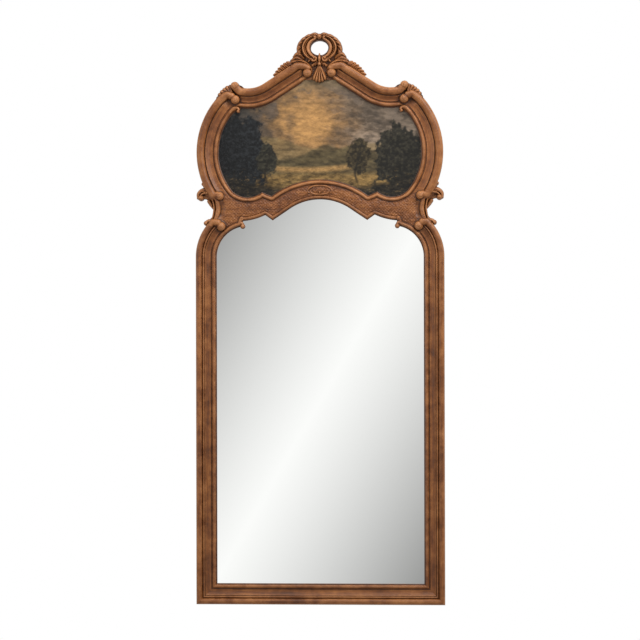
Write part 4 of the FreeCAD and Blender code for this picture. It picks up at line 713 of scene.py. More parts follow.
def crest_field(x, z):
    """The crest, drawn for x over zero and folded: a solid dome pierced by an oval between two C scrolls,
    leaves that overlap round them like a wreath, knobs on top, the rolls' turned-in ends and a shell."""
    fold = np.abs(x)
    low, high = run_point(0, RUN), run_point(DIP_WIDTH, RUN)
    half = np.vstack([(0, 1650.5), (50, 1649.0), low, high, (82, 1706), (74, 1718), (71, 1738), (65, 1756),
                      (56, 1768), (44, 1779), (28, 1788), (16, 1791), (0, 1792)])
    outline = within(x, z, np.vstack([half, half[::-1] * [-1, 1]]))
    slope = math.radians(SLOPE)
    rel = np.stack([fold - low[0], z - low[1]], -1)
    beyond = -rel[..., 0] * math.cos(slope) + rel[..., 1] * math.sin(slope)
    out = rel[..., 0] * math.sin(slope) + rel[..., 1] * math.cos(slope)
    share = step_between(34, 20, beyond) * (out < 38) + step_between(12, 2, beyond) * (out >= 38)
    ground = np.full(x.shape, 30.0) + 1.5 * rough(x / 6, z / 6, 5, 3)
    ground = ground * (1 - share) + soft_depth(out, DIP_WIDTH) * share
    carving = Carving(fold, z, ground, outline)
    roll = np.array([run_point(DIP_WIDTH - 12.3, RUN), run_point(DIP_WIDTH - 12.3, RUN + 18)])
    carving.stem(np.vstack([roll, [49.0, 1691.5], [36.5, 1686.0]]), [12.2, 12.0, 11.0, 10.0], 36.0,
                 [12.0, 12.5, 12.5, 12.5])
    carving.scroll_end((38.0, 1671.0), 13.6, 35.0, 17.5, 150.0, 1)
    for points in ([(60, 1703), (80, 1706), (97, 1699)], [(52, 1709), (72, 1717), (89, 1710)],
                   [(50, 1718), (68, 1730), (81, 1722)]):
        carving.stem(points, [5.0, 8.6, 3.6], 28.0, [10, 15, 10], "leaf", count=20)
    for angle in (-16, 2, 20, 38, 56, 74):
        points = [polar((0, 0), size, np.array(turn)) * [60.0, 43.5] + [0, 1745.0]
                  for size, turn in ((0.96, angle + 16.0), (1.08, angle + 3.0), (1.15, angle - 9.0))]
        carving.stem(points, [5.0, 8.4, 3.4], 28.0, [10, 16, 11], "leaf", count=20)
    carving.stem([(96, 1700), (76, 1708), (55, 1707), (38, 1699), (27, 1686), (24, 1672)],
                 [2.6, 4.6, 5.0, 4.6, 3.8, 2.4], 31.0, [8, 11, 12.5, 12.5, 10, 7], "leaf")
    for wide, high, thick, foot in ((39.0, 33.5, 9.8, 30.0), (51.5, 41.0, 3.4, 34.0)):
        ring = polar((0, 0), 1.0, np.linspace(68, -60, 9))
        carving.stem(ring * [wide, high] + [0, 1748.5], np.array([0.55, 0.9, 1.0, 0.95, 0.6]) * thick, foot,
                     [12, 15, 16, 16, 13], "band" if thick > 5 else "round", count=40)
    carving.curl((16.0, 1716.0), 8.6, -40.0, 0.9, 4.2, 33.0, 12.0, hand=-1)
    carving.stem([(34, 1707), (25, 1715), (12, 1711), (6, 1702)], [2.6, 4.0, 3.8, 2.2], 32.0, [8, 10, 9, 6])
    carving.leaf((8, 1701), (24, 1692), 0.1, 8.5, 31.0, 8.0, lobes=2)
    carving.knob((0, 1785.5), 8.8, 31.0, 13.0, ring=0.6)
    carving.knob((15.0, 1783.5), 7.6, 31.0, 12.0, ring=0.6)
    carving.stem([(0, 1728), (0, 1715), (0, 1701)], [2.0, 5.6, 2.4], 33.0, [9, 14, 9])
    carving.inside = np.maximum(carving.inside, -(np.hypot(x / 27.8, (z - 1750.0) / 23.4) - 1) * 24)
    carving.stem([(0, 1731), (0, 1726)], [2.0, 3.4], 33.0, [9, 12])
    carving.shell((0, 1697.0), 57.0, -117, -63, 5, 34.0, 15.0)
    carving.knob((0, 1698.0), 5.5, 38.0, 10.0)
    return carving.top + tooled(x, z, 41), carving.inside


def spray_field(x, z):
    """A spray of overlapping leaves and buds along the top moulding's outer edge, beside the crest."""
    carving = Carving(x, z)
    along = np.array([-math.cos(math.radians(SLOPE)), math.sin(math.radians(SLOPE))])
    out = np.array([math.sin(math.radians(SLOPE)), math.cos(math.radians(SLOPE))])
    foot = run_point(DIP_WIDTH, RUN)
    carving.stem([foot + out * 1 - along * 58, foot + out * 7 - along * 32, foot + out * 9 - along * 2],
                 [3.5, 9.0, 11.0], 18.0, [10, 13, 15], "round")
    for number, reach in enumerate((8.0, 13.0, 17.0, 19.5, 20.0)):
        root = foot - along * (52.0 - 11.5 * number) - out * 1.0
        points = [root + along * 3.0, root + out * reach * 0.7, root + out * reach - along * 7.0]
        carving.stem(points, [4.5, 6.6, 3.2], 20.0, [14, 19, 13], "leaf", count=16)
        carving.stem([root + along * 8.0, root + out * reach * 0.95 + along * 4.0], [3.4, 4.6, 3.0], 22.0,
                     [11, 16, 12], "leaf", count=8)
    floor = (x - foot[0]) * out[0] + (z - foot[1]) * out[1]
    return carving.top + tooled(x, z, 51), np.maximum(carving.inside, 0.2 - floor)


def waist_field(x, z):
    """The C scroll in the waist: a band of two ribs that hugs the rail, a broad leaf above that curls over
    outwards to a turned-in tip, a bud on it, a small leaf under it, and a turned-in knob below."""
    carving = Carving(x, z)
    carving.stem([(336, 1302), (324, 1276), (320, 1246), (324, 1219), (338, 1202)],
                 [16.0, 15.0, 10.0, 14.0, 15.0], 18.0, [9, 9, 8, 9, 9], "round")
    carving.stem([(337, 1247), (343, 1258), (350, 1269)], [3.5, 6.5, 6.8], 18.0, [14, 17, 18], "leaf")
    carving.stem([(344, 1278), (358, 1284), (370, 1284)], [9.0, 9.0, 8.0], 18.0, [11, 12, 12], "round")
    carving.stem([(341, 1300), (330, 1276), (325, 1246), (330, 1219), (339, 1204), (350, 1199)],
                 [10.0, 12.0, 12.0, 12.0, 10.5, 7.5], 19.0, [18, 20, 21, 20, 19, 18], "band", count=48)
    carving.stem([(336, 1272), (345, 1288), (357, 1297.5), (370, 1299), (381, 1292), (384, 1280)],
                 [8.0, 12.0, 14.0, 12.5, 9.0, 5.5], 19.0, [18, 22, 24, 24, 23, 20], "leaf", count=48)
    carving.stem([(340, 1286), (354, 1294), (368, 1293), (376, 1286)], [3.0, 4.0, 3.6, 3.0], 24.0,
                 [14, 18, 19, 17])
    carving.scroll_end((376.0, 1280.0), 9.8, 20.0, 22.0, 90.0, -1)
    carving.stem([(352, 1300), (362, 1314), (367, 1321)], [8.5, 6.5, 5.0], 18.0, [16, 16, 14])
    carving.knob((368.5, 1323.5), 6.0, 18.0, 18.0)
    carving.stem([(340, 1205), (350, 1207), (358, 1203)], [7.5, 6.5, 6.0], 18.0, [17, 18, 17], "round")
    carving.scroll_end((359.5, 1200.0), 8.0, 20.0, 17.0, 150.0, 1)
    head, stile = beside_joints(x, z)
    _, waist, _ = rail_lines()
    rail = within(x, z, np.vstack([waist, (300, 1190), (300, 1300)]))
    clear = np.maximum(-head, np.maximum(-stile, -rail)) + 0.15
    return carving.top + tooled(x, z, 61), np.maximum(carving.inside, clear)


def panel_loop():
    """The panel's outline, from the middle of its foot round the right side and back by the left."""
    arch = bow((150.0, 1271.0), (-150.0, 1271.0), -56.0, 40)
    side = polar(HEAD, HEAD_R + REBATE - 1.0, np.linspace(-40, HEAD_TOP, 40))
    dip = dip_point(DIP_R - REBATE + 1.0, np.linspace(DIP_OUT, -SLOPE, 24))
    slope = math.tan(math.radians(SLOPE))
    top = (49.0, dip[-1][1] + (dip[-1][0] - 49.0) * slope)
    half = np.vstack([(235.0, 1271.0), side, dip, top])
    return np.vstack([half, half[::-1] * [-1, 1], arch[::-1]])


def panel_pocket(back):
    """Back depths of a carving at the panel: a pocket up to the lip where the panel lies, else the back."""
    return lambda x, z: np.where(within(np.abs(x), z, panel_loop()) < 1.0, LIP, float(back))


def rebate_depth(x, z):
    """The back's depth behind the rail: the lip over plate and picture, the boards' floor, or the wall."""
    upper, _, lower = rail_lines()
    fold = np.abs(x)
    near = np.minimum(nearest(fold, z, upper)[0], nearest(fold, z, lower)[0])
    floor = np.where(near < REBATE, LIP, np.where(near < BOARD_EDGE, BOARD_FLOOR, 0.0))
    return np.where(within(fold, z, panel_loop()) < 1.0, LIP, floor)


def build_middle_rail(wood):
    relief("middle_rail_carved", (-354.5, 354.5, 1153, 1339), wood.carving_step * 1625, middle_rail_field,
           0.0, bpy.data.materials["waxed_oak"], ["middle_rail"], rebate=rebate_depth)


def build_crest(wood):
    relief("crest_carved", (-98, 98, 1640, 1799), wood.carving_step * 1000, crest_field, 6.0,
           bpy.data.materials["waxed_oak"], ["crest"], rebate=panel_pocket(6.0))


def build_side_carvings(wood):
    """Corner blocks, sprays and waist scrolls, drawn on the right and folded over to the left."""
    oak = bpy.data.materials["waxed_oak"]
    step = wood.carving_step * 1000
    for hand, sign in (("right", 1), ("left", -1)):
        def turned(field, sign=sign):
            return lambda x, z: field(x * sign, z)

        def extent(low_x, high_x, low_z, high_z, sign=sign):
            ends = sorted((low_x * sign, high_x * sign))
            return ends[0], ends[1], low_z, high_z

        relief(f"{hand}_corner_carved", extent(234, 334, 1540, 1648), step, turned(corner_field), 12.0, oak,
               [f"{hand}_corner_block"], grain=(0.7, -0.7 * sign), rebate=panel_pocket(12.0))
        relief(f"{hand}_spray_carved", extent(86, 152, 1652, 1722), step, turned(spray_field), 12.0, oak,
               [f"{hand}_crest_spray"], grain=(0.8, -0.55 * sign))
        relief(f"{hand}_waist_carved", extent(318, 394, 1184, 1336), step, turned(waist_field), 4.0, oak,
               [f"{hand}_waist_scroll"], grain=(0.0, 1.0))


# ---------------------------------------------------------------- materials

def linear(code):
    """The linear colour of an sRGB hex code, as four numbers."""
    part = np.array([int(code[i:i + 2], 16) for i in (1, 3, 5)]) / 255.0
    part = np.where(part <= 0.04045, part / 12.92, ((part + 0.055) / 1.055) ** 2.4)
    return (*part.tolist(), 1.0)


def node(tree, kind, *values, get=0, stops=(), **settings):
    """Adds a shader node and gives one of its outputs, by place or name.

    Values are numbers, colours or sockets for its inputs in order, or one dict of them by place or name.
    Settings are the node's properties, and stops a colour ramp's pairs of position and colour.
    """
    made = tree.nodes.new("ShaderNode" + kind)
    for key, value in settings.items():
        setattr(made, key, value)
    if stops:
        for element, stop in zip(made.color_ramp.elements, (stops[0], stops[-1])):
            element.position, element.color = stop
        for position, colour in stops[1:-1]:
            made.color_ramp.elements.new(position).color = colour
    given = values[0] if values and isinstance(values[0], dict) else dict(enumerate(values))
    for key, value in given.items():
        if isinstance(value, bpy.types.NodeSocket):
            tree.links.new(value, made.inputs[key])
        else:
            made.inputs[key].default_value = value
    return made.outputs[get] if made.outputs else None


def fresh(name):
    """The empty node tree of a new material."""
    made = bpy.data.materials.new(name)
    made.use_nodes = True
    made.node_tree.nodes.clear()
    return made.node_tree


def finish_surface(tree, inputs):
    """Gives a material its principled surface."""
    node(tree, "OutputMaterial", node(tree, "BsdfPrincipled", inputs))


def weighted(tree, start, *pairs):
    """The sum of a start and of sockets times their weights."""
    for socket, weight in pairs:
        start = node(tree, "Math", socket, weight, start, operation="MULTIPLY_ADD")
    return start


def grain_noise(tree, along, across, detail, uv=True, distortion=0.0):
    """Noise stretched along the wood; along and across are the lengths of its cells in millimetres."""
    scale = (along, across, 1000.0) if uv else (across, across, along)
    place = node(tree, "Mapping", {"Vector": node(tree, "TexCoord", get="UV" if uv else "Object"),
                                   "Scale": [1000.0 / cell for cell in scale]})
    return node(tree, "TexNoise", {"Vector": place, "Scale": 1.0, "Detail": detail, "Distortion": distortion})


def waxed_oak(wood):
    """Carved oak, stained brown and waxed: fibre lines 1.3 mm apart and 70 mm long, open pores, a broad
    drift from warm to dark every 90 mm, blotches of stain 25 mm across, dark wax and painted shade in the
    hollows, and ridges made paler by rubbed wax and a painted highlight."""
    tree = fresh("waxed_oak")
    fibre = grain_noise(tree, 70.0, 1.3, 4.0)
    figure = grain_noise(tree, 260.0, 11.0, 3.0, distortion=0.6)
    pores = grain_noise(tree, 9.0, 0.55, 1.0)
    place = node(tree, "TexCoord", get="Object")
    drift = node(tree, "TexNoise", {"Vector": place, "Scale": 11.0, "Detail": 3.0})
    blotch = node(tree, "TexNoise", {"Vector": place, "Scale": 38.0, "Detail": 5.0, "Roughness": 0.62})
    blend = weighted(tree, 0.0, (fibre, 0.34), (figure, 0.26), (drift, 0.20), (blotch, 0.20))
    colour = node(tree, "ValToRGB", blend, stops=[(0.38, (*wood.dark, 1.0)), (0.5, (*wood.middle, 1.0)),
                                                  (0.62, (*wood.light, 1.0))])
    hollow = node(tree, "Attribute", get="Fac", attribute_name="hollow")
    # Both noises average a half, so that minus one leaves the hollow's own value on the average.
    # From the hollow value and the stain noises. Below zero it darkens towards the hollows' colour, as dark
    # wax and painted shade. Above zero it lightens towards the worn colour, as wax wear and a painted
    # highlight.
    relief_shade_and_stain = weighted(tree, -1.0, (hollow, 1.0), (drift, 0.7), (blotch, 1.3))
    hollow_wax_and_shade = node(tree, "Math", relief_shade_and_stain, -1.35, operation="MULTIPLY", use_clamp=True)
    ridge_wear_and_highlight = node(tree, "Math", relief_shade_and_stain, 1.3, -0.13, operation="MULTIPLY_ADD", use_clamp=True)
    open_pore = node(tree, "Math", pores, -5.0, 2.1, operation="MULTIPLY_ADD", use_clamp=True)
    for amount, strength, over in ((ridge_wear_and_highlight, 0.7, wood.worn_and_highlit), (hollow_wax_and_shade, 0.8, wood.groove),
                                   (open_pore, 0.5, wood.groove)):
        share = node(tree, "Math", amount, strength, operation="MULTIPLY")
        colour = node(tree, "Mix", {0: share, 6: colour, 7: (*over, 1.0)}, get=2, data_type="RGBA")
    height = weighted(tree, 0.0, (fibre, 0.35), (open_pore, -0.5))
    finish_surface(tree, {"Base Color": colour, "Roughness": weighted(tree, 0.34, (blotch, 0.3)),
                          "Normal": node(tree, "Bump", {"Height": height, "Strength": 0.55,
                                                        "Distance": 0.00035}),
                          "Specular IOR Level": 0.38})


def bare_pine(wood):
    """Sawn and planed pine, gone brown with age: growth lines every 7 mm, unpolished."""
    tree = fresh("aged_pine")
    line = grain_noise(tree, 240.0, 7.0, 3.0, uv=False, distortion=0.4)
    fibre = grain_noise(tree, 60.0, 1.1, 2.0, uv=False)
    colour = node(tree, "ValToRGB", weighted(tree, 0.0, (line, 0.65), (fibre, 0.35)),
                  stops=[(0.34, linear("#7d6040")), (0.5, (*wood.pine, 1.0)), (0.66, linear("#a68a62"))])
    finish_surface(tree, {"Base Color": colour, "Roughness": 0.78,
                          "Normal": node(tree, "Bump", {"Height": fibre, "Strength": 0.4,
                                                        "Distance": 0.0004})})


def silvered_glass(glass):
    """Silvered float glass: a clear, nearly neutral mirror, polished."""
    finish_surface(fresh("silvered_glass"), {"Base Color": (*glass.silver, 1.0), "Metallic": 1.0,
                                             "Roughness": 0.015})


def painted_canvas():
    """Oil on canvas under an old varnish: brush ridges 2 mm wide, a fine net of cracks every 6 mm and a
    soft gloss."""
    tree = fresh("varnished_oil_paint")
    place = node(tree, "TexCoord", get="Object")
    stretch = node(tree, "Mapping", {"Vector": place, "Scale": (160.0, 160.0, 460.0)})
    brush = node(tree, "TexNoise", {"Vector": stretch, "Scale": 1.0, "Detail": 3.0, "Distortion": 1.2})
    cell = node(tree, "TexVoronoi", {"Vector": place, "Scale": 165.0}, feature="DISTANCE_TO_EDGE",
                get="Distance")
    crack = node(tree, "Math", cell, 0.022, operation="LESS_THAN")
    shade = weighted(tree, 0.84, (brush, 0.32), (crack, -0.16))
    paint = node(tree, "Attribute", attribute_name="paint")
    colour = node(tree, "Mix", {0: 1.0, 6: paint, 7: node(tree, "CombineColor", shade, shade, shade)}, get=2,
                  data_type="RGBA", blend_type="MULTIPLY")
    height = weighted(tree, 0.0, (brush, 1.0), (crack, -0.5))
    finish_surface(tree, {"Base Color": colour, "Roughness": 0.45, "Specular IOR Level": 0.25,
                          "Normal": node(tree, "Bump", {"Height": height, "Strength": 0.5,
                                                        "Distance": 0.0006})})


def plain_finish(name, code, metallic, roughness, mottle, spacing, bump_depth=0.0):
    """One colour with a mottle: metallic and roughness as given, noise cells of the given spacing in mm."""
    tree = fresh(name)
    base = np.array(linear(code)[:3])
    noise = node(tree, "TexNoise", {"Vector": node(tree, "TexCoord", get="Object"), "Scale": 1000.0 / spacing,
                                    "Detail": 3.0})
    low, high = base * (1 - mottle), np.minimum(base * (1 + mottle), 1.0)
    inputs = {"Base Color": node(tree, "ValToRGB", noise, stops=[(0.35, (*low, 1.0)), (0.65, (*high, 1.0))]),
              "Metallic": metallic, "Roughness": roughness}
    if bump_depth:
        inputs["Normal"] = node(tree, "Bump", {"Height": noise, "Strength": 0.6, "Distance": bump_depth})
    finish_surface(tree, inputs)


def dress(node_name, material):
    """Gives a frame node one material in place of what it came with."""
    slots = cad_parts[node_name].data.materials
    slots.clear()
    slots.append(material)


# ---------------------------------------------------------------- painting

def landscape(x, z):
    """The panel's picture: a misty valley under an evening sky, worked out from its heights and noise.

    u runs 0 to 1 over the width and v over the height. Each layer is a band under a noisy skyline, laid
    over the one behind: sky, far hills, middle woods, a pale lake, groves and a dark bank.
    """
    u, v = (x + PANEL_HALF) / (2 * PANEL_HALF), (z - PANEL_FOOT) / PANEL_TALL
    daub = rough(x / 18 + z / 45, z / 8, 101, 4)
    fine = rough(x / 6, z / 2.6, 111, 3)
    cloud = rough(x / 85 + 0.3 * z / 60, z / 42, 121, 5)
    puff = rough(x / 30, z / 24, 125, 4)

    def tone(code):
        return np.array(linear(code)[:3])

    def over(below, mask, colour):
        mask = np.clip(mask, 0, 1)[..., None]
        return below * (1 - mask) + colour * mask

    glow = np.exp(-((u - 0.44 - 0.1 * puff) / 0.16) ** 2 - ((v - 0.62 - 0.07 * cloud) / 0.33) ** 2)
    mass = cloud + 0.5 * puff + 0.15 * daub - 0.5 * glow
    sheet = tone("#5d5043") * (0.8 + 0.35 * daub[..., None] + 0.25 * cloud[..., None])
    sheet = over(sheet, step_between(0.42, 0.16, u + 0.06 * puff) * 0.9, tone("#33312d"))
    sheet = over(sheet, step_between(-0.15, 0.25, mass) * step_between(0.5, 0.7, u) * 0.75, tone("#8a7866"))
    sheet = over(sheet, glow, tone("#99703f") * (0.85 + 0.35 * daub[..., None] + 0.2 * fine[..., None]))
    sheet = over(sheet, glow ** 3 * 0.45, tone("#b88c57"))
    overcast = step_between(-0.02, 0.16, mass) * step_between(0.5, 0.8, v)
    sheet = over(sheet, overcast * 0.7, tone("#4a4038") * (0.9 + 0.6 * puff[..., None]))
    far = 0.47 + 0.05 * rough(x / 120, x * 0 + 3.1, 131, 4) + 0.05 * np.sin(u * 7.0 + 0.6)
    sheet = over(sheet, step_between(0.015, -0.015, v - far) * 0.75,
                 tone("#6c5a3a") * (0.9 + 0.4 * daub[..., None]))
    near = 0.39 + 0.05 * rough(x / 70, x * 0 + 9.1, 141, 4) + 0.05 * np.cos(u * 9.0 + 1.0)
    sheet = over(sheet, step_between(0.015, -0.015, v - near) * 0.85,
                 tone("#453c27") * (0.9 + 0.7 * daub[..., None]))
    lake = step_between(0.035, 0.0, np.abs(v - 0.27 - 0.012 * np.sin(u * 11))) * step_between(0.2, 0.34, u)
    sheet = over(sheet, lake * step_between(0.74, 0.56, u) * 0.85,
                 tone("#a17c4a") * (0.9 + 0.4 * fine[..., None]))
    meadow = step_between(0.26, 0.2, v + 0.02 * daub)
    meadow = meadow * step_between(0.06, 0.2, u) * step_between(0.96, 0.8, u)
    sheet = over(sheet, meadow * 0.9, tone("#7d6237") * (0.8 + 0.7 * daub[..., None] + 0.3 * fine[..., None]))
    groves = ((0.87, 0.12, 0.08, 0.62, 151, "#2e2a20"), (0.1, 0.17, 0.04, 0.72, 161, "#1e2022"),
              (0.68, 0.055, 0.2, 0.5, 171, "#3a3120"), (0.25, 0.05, 0.22, 0.46, 181, "#2f2c22"))
    for centre, half, low, high, seed, code in groves:
        crown = np.hypot((u - centre) / half, (v - (low + high) / 2) / ((high - low) / 2))
        crown = crown + 0.4 * rough(x / 34, z / 30, seed, 4) + 0.2 * rough(x / 9, z / 8, seed + 4, 3)
        lit = 0.8 + 1.2 * rough(x / 7, z / 6, seed + 2, 3) + 0.7 * (0.5 - u) * np.sign(centre - 0.5)
        lit = np.clip(lit, 0.3, 2.6)
        sheet = over(sheet, step_between(1.04, 0.86, crown), tone(code) * lit[..., None])
        trunk = np.exp(-((u - centre - 0.012 * np.sin(v * 20)) / 0.006) ** 2)
        trunk = trunk * step_between(low + 0.28, low + 0.12, v)
        sheet = over(sheet, trunk * step_between(low - 0.1, low, v) * 0.9, tone("#1b1710"))
    bank = 0.1 + 0.04 * rough(x / 60, x * 0 + 5.5, 191, 4) + 0.12 * (2 * u - 1) ** 2
    light = 0.8 + 1.1 * np.clip(fine + daub, -0.4, 1)[..., None]
    sheet = over(sheet, step_between(0.03, -0.03, v - bank), tone("#2a241a") * light)
    flecks = step_between(0.4, 0.8, fine + 0.3 * daub) * step_between(0.32, 0.1, v)
    sheet = over(sheet, flecks * 0.55, tone("#9a7a45"))
    sheet = over(sheet, step_between(0.84, 0.98, v) * 0.5, tone("#a08a66"))
    edge = 1.0 - 0.5 * step_between(0.55, 1.2, np.hypot((u - 0.5) * 1.9, (v - 0.5) * 1.6))
    sheet = sheet * edge[..., None] * (1.0 + 0.3 * daub[..., None] + 0.14 * fine[..., None])
    return np.concatenate([np.clip(sheet, 0.003, 0.9), np.ones((*x.shape, 1))], -1)


def panel_field(x, z):
    """The canvas: a level sheet inside the panel's outline, with brush ridges a twentieth of a mm high."""
    return 23.95 + 0.05 * rough(x / 5, z / 2, 201, 2), within(x, z, panel_loop())


def build_painting():
    relief("panel_painted", (-332, 332, 1268, 1668), 1.55, panel_field, 23.0,
           bpy.data.materials["varnished_oil_paint"], ["picture_canvas"], extra=landscape)


def build_fittings():
    """Materials of the plate, the boards behind it and the fixings, which keep the shape they have."""
    give = bpy.data.materials
    pieces = {"silvered_glass": ["mirror_plate"], "tanned_leather": ["left_plate_pad", "right_plate_pad"],
              "aged_brass": [f"{s}_{w}_turn_button" for s in ("left", "right") for w in ("upper", "lower")],
              "forged_iron": [f"{s}_hanger_{w}" for s in ("left", "right") for w in ("strap", "ring")],
              "turned_steel": ["backboard_screws", "turn_button_screws", "hanger_screws"],
              "turned_beech": [f"{s}_{w}" for s in ("left", "right") for w in
                               ("corner_side_dowel", "corner_top_dowel", "crest_dowel", "waist_head_dowel",
                                "waist_stile_dowel", "mitre_key")],
              "aged_pine": [f"backboard_{k}" for k in (1, 2, 3, 4)]
              + [f"picture_board_{w}" for w in ("lower", "upper")] + ["bottom_plate_bead"]
              + [f"{s}_{w}" for s in ("left", "right") for w in ("picture_batten", "plate_bead")]}
    for name, nodes in pieces.items():
        for item in nodes:
            dress(item, give[name])


# ---------------------------------------------------------------- stage

def reflected_card(name, corners, material):
    """A flat card of the studio from its corners in metres, that only reflections show."""
    mesh = bpy.data.meshes.new(name)
    mesh.from_pydata(corners, [], [list(range(len(corners)))])
    made = bpy.data.objects.new(name, mesh)
    bpy.context.scene.collection.objects.link(made)
    made.data.materials.append(material)
    made.visible_camera = False
    made.visible_diffuse = False
    made.visible_shadow = False
    made.visible_transmission = False


def reflection_card_material():
    """What the plate reflects: a pale room, brightest along one slanting line, darker to both sides of it.

    With s the distance from that line, the grey is 255 - 31.8 |s| - 11.2 s squared, as an sRGB level.
    """
    tree = fresh("pale_studio_card")
    axes = node(tree, "SeparateXYZ", node(tree, "TexCoord", get="Object")).node.outputs
    across = weighted(tree, 0.449 / 0.793, (axes["X"], 1.0 / 0.793))
    slant = weighted(tree, across, (axes["Z"], -0.95 / 1.298))
    slant = node(tree, "Math", slant, 0.337 * 0.95 / 1.298, operation="ADD")
    s = node(tree, "Math", node(tree, "Math", slant, operation="ABSOLUTE"), 2.4, operation="MINIMUM")
    square = node(tree, "Math", s, s, operation="MULTIPLY")
    grey = weighted(tree, 1.0, (s, -31.8 / 255.0), (square, -11.2 / 255.0))
    grey = node(tree, "Math", grey, 2.2, operation="POWER")
    strength = node(tree, "Math", grey, 1.04, operation="MULTIPLY")
    node(tree, "OutputMaterial", node(tree, "Emission", {"Strength": strength}))
    return bpy.data.materials["pale_studio_card"]


def lamp(name, place, aim, size, power):
    """A soft rectangular lamp at a place in metres, turned towards a point."""
    data = bpy.data.lights.new(name, "AREA")
    data.shape = "RECTANGLE"
    data.size, data.size_y = size
    data.energy = power
    made = bpy.data.objects.new(name, data)
    made.location = place
    way = Vector(aim) - Vector(place)
    made.rotation_euler = way.to_track_quat("-Z", "Y").to_euler()
    bpy.context.scene.collection.objects.link(made)


def build_stage(studio):
    """White surroundings, soft lamps, the card that the plate reflects, and the camera."""
    scene = bpy.context.scene
    world = bpy.data.worlds.new("white_studio")
    world.use_nodes = True
    tree = world.node_tree
    tree.nodes.clear()
    sky = node(tree, "Background", {"Color": (1, 1, 1, 1), "Strength": studio.fill})
    white = node(tree, "Background", {"Color": (1, 1, 1, 1), "Strength": 1.0})
    seen = node(tree, "LightPath", get="Is Camera Ray")
    node(tree, "OutputWorld", node(tree, "MixShader", seen, sky, white))
    scene.world = world
    card = [(-3.0, -9.0, -2.0), (2.2, -9.0, -2.0), (2.2, -9.0, 2.8), (-3.0, -9.0, 2.8)]
    reflected_card("reflection_card", card, reflection_card_material())
    lamp("key_lamp", (2.2, -2.3, 3.1), (0, 0, 1.3), (1.1, 1.3), studio.key)
    lamp("side_lamp", (-2.8, -2.3, 1.9), (0, 0, 1.0), (1.2, 2.2), studio.key * 0.38)
    lamp("top_lamp", (0.2, -1.1, 3.3), (0, 0, 1.3), (1.8, 0.7), studio.key * 0.3)
    data = bpy.data.cameras.new("front_camera")
    data.sensor_width = CAMERA_SENSOR
    data.lens = CAMERA_FOCAL * CAMERA_SENSOR / 640.0
    data.clip_start, data.clip_end = 0.1, 60.0
    camera = bpy.data.objects.new("front_camera", data)
    forward = Vector((-math.sin(CAMERA_YAW) * math.cos(CAMERA_PITCH),
                      math.cos(CAMERA_YAW) * math.cos(CAMERA_PITCH), math.sin(CAMERA_PITCH)))
    right = forward.cross(Vector((0, 0, 1))).normalized()
    up = right.cross(forward)
    tilted = right * math.cos(CAMERA_ROLL) + up * math.sin(CAMERA_ROLL)
    upright = tilted.cross(forward)
    camera.matrix_world = Matrix(((tilted.x, upright.x, -forward.x, CAMERA_PLACE[0]),
                                  (tilted.y, upright.y, -forward.y, CAMERA_PLACE[1]),
                                  (tilted.z, upright.z, -forward.z, CAMERA_PLACE[2]), (0, 0, 0, 1)))
    scene.collection.objects.link(camera)
    scene.camera = camera
    scene.view_settings.view_transform = "Standard"


# ---------------------------------------------------------------- add-on

def colour_choice(label, meaning, code):
    return bpy.props.FloatVectorProperty(name=label, description=meaning, subtype="COLOR", size=3, min=0.0,
                                         max=1.0, default=linear(code)[:3])


class TRUMEAU_wood(bpy.types.PropertyGroup):
    """Colours of the frame's wood, and how fine its carving is drawn."""
    carving_step: bpy.props.FloatProperty(name="Carving step", subtype="DISTANCE", unit="LENGTH",
                                          description="Distance between the points of the carved pieces",
                                          default=0.0008, min=0.0005, max=0.004)
    dark: colour_choice("Dark grain", "Colour of the darkest grain", WOOD_DARK)
    middle: colour_choice("Wood", "Colour of most of the wood", WOOD_MIDDLE)
    light: colour_choice("Light grain", "Colour of the palest grain", WOOD_LIGHT)
    # The worn colour is laid on ridges for wax wear and a painted highlight. The hollows' colour is laid in
    # hollows for dark wax and painted shade, and in the pores.
    worn_and_highlit: colour_choice("Worn ridges", "Colour where the wax is rubbed off", WOOD_WORN_AND_HIGHLIT)
    groove: colour_choice("Hollows", "Colour of old wax in the hollows", WOOD_WAX_AND_SHADE)
    pine: colour_choice("Backboards", "Colour of the boards behind the plate", "#937448")


class TRUMEAU_glass(bpy.types.PropertyGroup):
    """Finish of the plate."""
    silver: colour_choice("Silvering", "Colour of the plate's silvering", "#f7f8f6")


class TRUMEAU_studio(bpy.types.PropertyGroup):
    """Lamps of the stage."""
    key: bpy.props.FloatProperty(name="Key lamp", description="Power of the key lamp", subtype="POWER",
                                 unit="POWER", default=KEY_POWER, min=0.0, soft_max=500.0)
    fill: bpy.props.FloatProperty(name="Surroundings", default=FILL_LEVEL, min=0.0, soft_max=2.0,
                                  description="Strength of the white surroundings on the object")


class TRUMEAU_OT_materials(bpy.types.Operator):
    """Makes the materials"""
    bl_idname = "trumeau.materials"
    bl_label = "Materials"

    def execute(self, context):
        wood = context.scene.trumeau_wood
        waxed_oak(wood)
        bare_pine(wood)
        silvered_glass(context.scene.trumeau_glass)
        painted_canvas()
        # Dull yellow-brown metal, handled and never polished.
        plain_finish("aged_brass", "#8a6a38", 1.0, 0.42, 0.18, 3.0)
        # Blackened wrought iron with a faint scale.
        plain_finish("forged_iron", "#4b4744", 1.0, 0.5, 0.25, 2.5, 0.0002)
        # Grey bright-drawn screws, a little dulled.
        plain_finish("turned_steel", "#8d8a84", 1.0, 0.38, 0.12, 2.0)
        # Brown vegetable-tanned leather, matt.
        plain_finish("tanned_leather", "#6b472b", 0.0, 0.8, 0.15, 1.5, 0.0002)
        # Pale close-grained wood of dowels and keys.
        plain_finish("turned_beech", "#b58f63", 0.0, 0.6, 0.12, 5.0)
        return {"FINISHED"}


